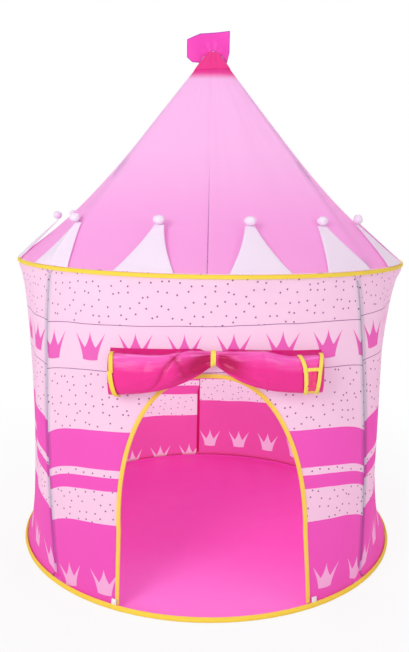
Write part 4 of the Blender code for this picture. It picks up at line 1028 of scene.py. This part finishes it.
# The door cloth, wound up over the arch and gathered by its tie
roll = {"middle": 0.012, "left": 0.229, "right": 0.237, "top": 0.6385, "dip": 0.003, "dipSpread": 0.020,
        "waistHeight": 0.0140, "height": 0.0520, "heightSpread": 0.078, "leftMore": 0.040, "endDrop": 0.0115,
        "waistDepth": 0.0105, "depth": 0.0290, "depthSpread": 0.045, "press": 0.85, "square": 0.80,
        "turns": 2.7, "stations": 168, "around": 120, "hem": 0.6405, "hemDrop": 0.0065, "hemTurn": 0.06,
        "startAngle": 60.0, "drape": 0.040, "offWall": 0.0042, "offBinding": 0.0064,
        # side of the tie, angle at the tie, angle far from it, width in degrees, depth, start, fading
        "pleats": ((1, 186, 172, 32, 0.80, 0.012, 0.052), (-1, 186, 198, 32, 0.80, 0.012, 0.056),
                   (1, 146, 122, 12, 0.30, 0.008, 0.080), (-1, 148, 134, 12, 0.34, 0.008, 0.090),
                   (1, 122, 98, 9, 0.24, 0.006, 0.060), (-1, 120, 100, 9, 0.26, 0.006, 0.055),
                   (1, 236, 208, 10, 0.26, 0.006, 0.085), (-1, 234, 228, 10, 0.28, 0.006, 0.095),
                   (1, 262, 250, 8, 0.22, 0.006, 0.060), (-1, 264, 258, 8, 0.22, 0.006, 0.055),
                   (1, 90, 84, 9, 0.14, 0.006, 0.040), (-1, 92, 78, 9, 0.14, 0.006, 0.045),
                   (1, 300, 306, 12, 0.20, 0.006, 0.050), (-1, 300, 310, 12, 0.20, 0.006, 0.050)),
        # across the roll: place along it at the top, place at the front, width, depth
        "creases": ((-0.074, -0.112, 0.0055, 0.22), (-0.095, -0.070, 0.0060, 0.14),
                    (-0.140, -0.150, 0.0120, 0.07), (0.128, 0.150, 0.0100, 0.08), (0.100, 0.112, 0.0060, 0.07))}


def rollShape(distance):
    reach = abs(distance)
    halfHeight = mix(roll["waistHeight"], roll["height"], 1.0 - exp(-reach / roll["heightSpread"]))
    halfHeight *= 1.0 - roll["leftMore"] * distance / 0.2
    halfDepth = mix(roll["waistDepth"], roll["depth"], 1.0 - exp(-reach / roll["depthSpread"]))
    top = roll["top"] - roll["dip"] * exp(-reach / roll["dipSpread"])
    drop = roll["endDrop"] * (easeBetween(0.10, 0.17, distance) + easeBetween(0.05, 0.12, -distance))
    top -= drop
    halfHeight -= 0.5 * drop
    return top - halfHeight, halfHeight, halfDepth


def rollAngle(turns):
    return radians(roll["startAngle"] + 360.0 * turns)


def rollFolds(distance, angle):
    # Share of the plain section that is left where the tie's pleats and a few cross creases draw it in
    reach, side = abs(distance), 1 if distance > 0 else -1
    turned = degrees(angle) % 360.0
    kept = 1.0
    for pleatSide, nearAngle, farAngle, width, depth, start, fading in roll["pleats"]:
        if pleatSide != side:
            continue
        middle = mix(nearAngle, farAngle, min(reach / 0.12, 1.0))
        off = abs((turned - middle + 180.0) % 360.0 - 180.0)
        strength = (1.0 - exp(-(reach / start) ** 2)) * exp(-(reach / fading) ** 2)
        kept -= depth * strength * exp(-(off / (width * (1.0 + 1.2 * reach / 0.1))) ** 1.35)
    if 70.0 < turned < 260.0:
        share = (turned - 90.0) / 90.0
        ends = easeBetween(70.0, 95.0, turned) * (1.0 - easeBetween(185.0, 255.0, turned))
        for topPlace, frontPlace, width, depth in roll["creases"]:
            off = abs(distance - mix(topPlace, frontPlace, share))
            kept -= depth * ends * exp(-(off / width) ** 1.3)
    # Cloth bulges between the pleats
    swell = 0.22 * exp(-((reach - 0.044) / 0.030) ** 2)
    kept += swell * (exp(-((turned - 236.0) / 18.0) ** 2) + 0.9 * exp(-((turned - 136.0) / 18.0) ** 2))
    return kept


def rollPoint(distance, turns, out=0.0):
    # turns run inwards from the sewn edge, over the top, down the front and back under
    x = roll["middle"] + distance
    middle, halfHeight, halfDepth = rollShape(distance)
    angle = rollAngle(turns)
    reach = abs(distance)
    inwards = 1.0 - 0.04 * turns - 0.26 * max(turns - 0.7, 0.0)
    pleat = rollFolds(distance, angle)
    drape = waver(distance * 11, cos(angle) * 1.6, sin(angle) * 1.6 + 9.0)
    drape += 0.5 * waver(distance * 30, cos(angle) * 3.4, sin(angle) * 3.4)
    pleat += roll["drape"] * drape * (1.0 - exp(-reach / 0.04))
    across, rise = cos(angle), sin(angle)
    across = abs(across) ** roll["square"] * (1.0 if across > 0.0 else -1.0)
    rise = abs(rise) ** roll["square"] * (1.0 if rise > 0.0 else -1.0)
    height = middle + (halfHeight * mix(1.0, pleat, 0.35) * inwards + out) * rise
    axisY = wallFront(x, middle) - 0.0026 - halfDepth * roll["press"]
    y = axisY + (halfDepth * pleat * inwards + out) * across
    room = roll["offBinding"] if height < door["top"] + 0.017 else roll["offWall"]
    y = min(y, wallFront(x, height) - room + out)
    spot = Vector((x, y, height))
    if turns < roll["hemTurn"]:
        level = roll["hem"] - roll["hemDrop"] * reach / 0.23
        sewn = Vector((x, wallFront(x, level) - 0.0030, level))
        share = easeBetween(0.0, roll["hemTurn"], turns)
        held = easeBetween(0.018, 0.034, reach) * (1.0 - share)
        spot = spot.lerp(sewn, held)
    return spot


def makeRoll():
    grid, drawn = [], []
    count = int(roll["turns"] * roll["around"])
    middle = roll["stations"] // 2
    stations = [abs(step / middle) ** 1.35 * (roll["right"] if step > 0 else -roll["left"])
                for step in range(-middle, middle + 1)]
    for step in range(count + 1):
        turns = roll["turns"] * step / count
        wound = turns * 0.2
        grid.append([(rollPoint(distance, turns), (distance, wound),
                      min(roll["left"] + distance, roll["right"] - distance, wound)) for distance in stations])
        # How deep each point lies in a fold; the satin's finish paints shade by it
        drawn += [clamp(1.0 - rollFolds(distance, rollAngle(turns))) for distance in stations]
    piece = sewSheet(grid, "door_roll_cloth", 0.0, "turned")
    piece.data.attributes.new("fold", "FLOAT", "POINT").data.foreach_set("value", drawn)
    return piece


def rollStrip(name, centre, halfWidth, firstTurn, lastTurn, out, rows=60, columns=5, across=None, crumple=0.0):
    # Flat tape laid on the roll; centre gives its place along the roll at each turn
    grid = []
    first, last = across or (-halfWidth, halfWidth)
    for turns in evenly(firstTurn, lastTurn, rows):
        grid.append([])
        for reach in evenly(first, last, columns):
            lift = out + crumple * waver(turns * 22, reach * 130, 4.0)
            distance = clamp(centre(turns) + reach, -roll["left"], roll["right"])
            grid[-1].append((rollPoint(distance, turns, lift),
                             (turns * 0.2, reach), 0.004 if across else halfWidth - abs(reach)))
    return thicken(sewSheet(grid, name, 0.00002, "turned"), 0.0008, 1.0)


# The tie; the frame and pane of the door's own small window, at the right end; the bound edge, at the left.
# Name, finish, slot, replaced node, place along the roll at each turn, half width, first and last turn, lift.
# The bars and the pane lie between the two places given as across
strips = (
    ("door_tie_ribbon", paleTape, "yellow_tape", ["door_tie"], lambda turns: -0.0025, 0.0056, 0.0, 1.0, 0.0016,
     {"rows": 90, "columns": 6}),
    ("roll_window_left_tape", paleTape, "yellow_tape", ["roll_trim"],
     lambda turns: 0.1865 + 0.0030 * sin((turns - 0.20) * 12.0) + 0.030 * (turns - 0.12),
     0.0044, 0.085, 0.53, 0.0030, {}),
    ("roll_window_right_tape", paleTape, "yellow_tape", [],
     lambda turns: mix(0.2322, 0.2225, clamp((turns - 0.14) / 0.30)), 0.0044, 0.06, 0.53, 0.0030, {}),
    ("roll_window_top_tape", paleTape, "yellow_tape", [], lambda turns: 0.0, 0.0, 0.266, 0.296, 0.0022,
     {"rows": 8, "columns": 24, "across": (0.189, 0.227)}),
    ("roll_window_foot_tape", doorTape, "yellow_tape", [], lambda turns: 0.0, 0.0, 0.446, 0.482, 0.0026,
     {"rows": 8, "columns": 24, "across": (0.194, 0.224)}),
    ("roll_window_pane", paneCloth, "satin_cloth", [], lambda turns: 0.0, 0.0, 0.294, 0.448, 0.0022,
     {"columns": 36, "across": (0.1975, 0.2195), "crumple": 0.0026}),
    ("roll_end_upper_tape", yellowTape, "yellow_tape", [], lambda turns: -0.2242 + 0.0035 * turns / 0.3,
     0.0046, 0.050, 0.310, 0.0020, {}),
    ("roll_end_lower_tape", yellowTape, "yellow_tape", [],
     lambda turns: mix(-0.2240, -0.2080, clamp((turns - 0.30) / 0.26)), 0.0050, 0.300, 0.585, 0.0032, {}))
rollPiece = dress(makeRoll(), satinCloth, "satin_cloth", "door_roll", body="door")
for name, finish, slotName, nodes, centre, halfWidth, firstTurn, lastTurn, lift, more in strips:
    strip = rollStrip(name, centre, halfWidth, firstTurn, lastTurn, lift, **more)
    dress(strip, finish, slotName, *nodes, body="door")
print("rolled door made")

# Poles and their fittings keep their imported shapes
hardware = {"_pole": makeHard("white fibreglass", (226, 224, 216), (206, 204, 196), 0.35),
            "_ferrule": makeHard("drawn steel ferrule", (170, 170, 174), (140, 140, 146), 0.3, 1.0),
            "_hoop": makeHard("spring steel", (150, 150, 156), (120, 120, 126), 0.35, 1.0),
            "_pole_foot": makeHard("black rubber", (34, 34, 34), (24, 24, 24), 0.75, 0.0, 90.0,
                                   (1.0, 1.0, 1.0)),
            "pole_hub": makeHard("black moulded hub", (44, 44, 46), (32, 32, 34), 0.5, 0.0, 140.0,
                                 (1.0, 1.0, 1.0))}
for name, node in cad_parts.items():
    for ending, finish in hardware.items():
        if name.endswith(ending):
            node.data.materials.clear()
            node.data.materials.append(finish)

# Cloth pockets hold the pole feet inside the eave
pocket = {"radius": 0.0068, "height": 0.019, "pinch": 0.06, "lean": 0.010}


def makePocket(name):
    lowFoot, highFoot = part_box(name.replace("_pole_pocket", "_pole_foot"))
    middle = (lowFoot + highFoot) / 2
    inward = Vector((middle.x, middle.y, 0.0)).normalized()
    bpy.ops.mesh.primitive_cylinder_add(vertices=28, radius=pocket["radius"], depth=pocket["height"],
                                        location=(middle.x, middle.y, middle.z - 0.001),
                                        end_fill_type="NOTHING")
    piece = bpy.context.object
    piece.name = name + "_cloth"
    bpy.ops.object.transform_apply(location=True, rotation=True, scale=True)
    bpy.ops.object.mode_set(mode="EDIT")
    bpy.ops.mesh.select_all(action="SELECT")
    bpy.ops.mesh.subdivide(number_cuts=3)
    bpy.ops.object.mode_set(mode="OBJECT")
    for vertex in piece.data.vertices:
        rise = (vertex.co.z - middle.z) / pocket["height"] + 0.5
        around = atan2(vertex.co.y - middle.y, vertex.co.x - middle.x)
        pinch = 1.0 - pocket["pinch"] * sin(5 * around) * rise
        lean = pocket["lean"] * (rise - 0.5)
        vertex.co.x = middle.x + (vertex.co.x - middle.x) * pinch - inward.x * lean
        vertex.co.y = middle.y + (vertex.co.y - middle.y) * pinch - inward.y * lean
    piece.data.uv_layers[0].name = "cut"
    return thicken(piece, 0.0009)


for corner in corners:
    name = corner + "_pole_pocket"
    piece = dress(makePocket(name), pocketCloth, "pocket_cloth", name)
print("poles and pockets finished")

# Room, lamps and camera
studio = {"cameraBack": 1.967, "cameraHeight": 0.9546, "pitch": 10.29, "roll": 0.81, "focal": 689.7,
          "longSide": 652, "principal": 4.9, "ambient": 0.52, "shadowNear": 0.62, "shadowFar": 1.52,
          "nearGlow": 0.86}


def seenPlainly(tree):
    # What the camera, a reflection or a clear surface sees
    path = addNode(tree, "LightPath").outputs
    return nodeValue(tree, path["Is Camera Ray"]) | path["Is Glossy Ray"] | path["Is Transmission Ray"]


bpy.ops.mesh.primitive_plane_add(size=24.0, location=(0.0, 0.0, -0.0005))
ground = bpy.context.object
ground.name = "studio_floor"
groundFinish, tree = startFinish("pale studio floor")
spot = addNode(tree, "TexCoord").outputs["Object"]
speckle = blendTint(tree, clouds(tree, spot, 60.0, 3.0), (0.86, 0.86, 0.86, 1.0), (0.84, 0.84, 0.84, 1.0))
matt = addNode(tree, "BsdfDiffuse", {"Color": speckle})
glow = addNode(tree, "Emission", {"Color": (1.0, 1.0, 1.0, 1.0), "Strength": 1.0})
away = nodeValue(tree, addNode(tree, "VectorMath", {0: spot}, operation="LENGTH").outputs["Value"])
near, far = studio["shadowNear"], studio["shadowFar"]
share = away.limited(1.0 / (far - near), -near / (far - near)) * (1.0 - studio["nearGlow"]) + studio["nearGlow"]
blendFloor = addNode(tree, "MixShader", {0: seenPlainly(tree) * share, 1: matt.outputs[0], 2: glow.outputs[0]})
addNode(tree, "OutputMaterial", {"Surface": blendFloor.outputs[0]})
ground.data.materials.append(groundFinish)

world = bpy.data.worlds.new("soft studio")
bpy.context.scene.world = world
world.use_nodes = True
tree = world.node_tree
tree.nodes.clear()
ambient = addNode(tree, "Background", {"Color": (0.97, 0.98, 1.0, 1.0), "Strength": studio["ambient"]})
backdrop = addNode(tree, "Background", {"Color": (1.0, 1.0, 1.0, 1.0), "Strength": 1.0})
shown = addNode(tree, "MixShader", {0: seenPlainly(tree), 1: ambient.outputs[0], 2: backdrop.outputs[0]})
addNode(tree, "OutputWorld", {"Surface": shown.outputs[0]})


def addLamp(name, place, target, size, power, tint):
    data = bpy.data.lights.new(name, "AREA")
    data.shape, data.size, data.energy, data.color = "DISK", size, power, tint
    lamp = bpy.data.objects.new(name, data)
    bpy.context.scene.collection.objects.link(lamp)
    lamp.location = place
    lamp.rotation_euler = (Vector(target) - Vector(place)).to_track_quat("-Z", "Y").to_euler()


addLamp("key lamp", (-2.2, -3.6, 2.4), (0.0, 0.0, 0.6), 2.4, 104.0, (0.97, 0.98, 1.0))
addLamp("fill lamp", (3.0, -2.6, 2.0), (0.0, 0.0, 0.6), 2.4, 29.0, (1.0, 0.96, 0.95))
addLamp("back lamp", (0.5, 3.4, 3.0), (0.0, 0.0, 0.8), 2.4, 60.0, (1.0, 1.0, 1.0))

cameraData = bpy.data.cameras.new("photo camera")
camera = bpy.data.objects.new("photo camera", cameraData)
bpy.context.scene.collection.objects.link(camera)
bpy.context.scene.camera = camera
cameraData.sensor_width = 36.0
cameraData.lens = studio["focal"] * cameraData.sensor_width / studio["longSide"]
cameraData.shift_x = -studio["principal"] / studio["longSide"]
cameraData.clip_start, cameraData.clip_end = 0.05, 60.0
camera.matrix_world = (Matrix.Translation((0.0, -studio["cameraBack"], studio["cameraHeight"]))
                       @ Matrix.Rotation(radians(90.0 - studio["pitch"]), 4, "X")
                       @ Matrix.Rotation(radians(studio["roll"]), 4, "Z"))
bpy.context.scene.view_settings.view_transform = "Standard"
print("room, lamps and camera set")
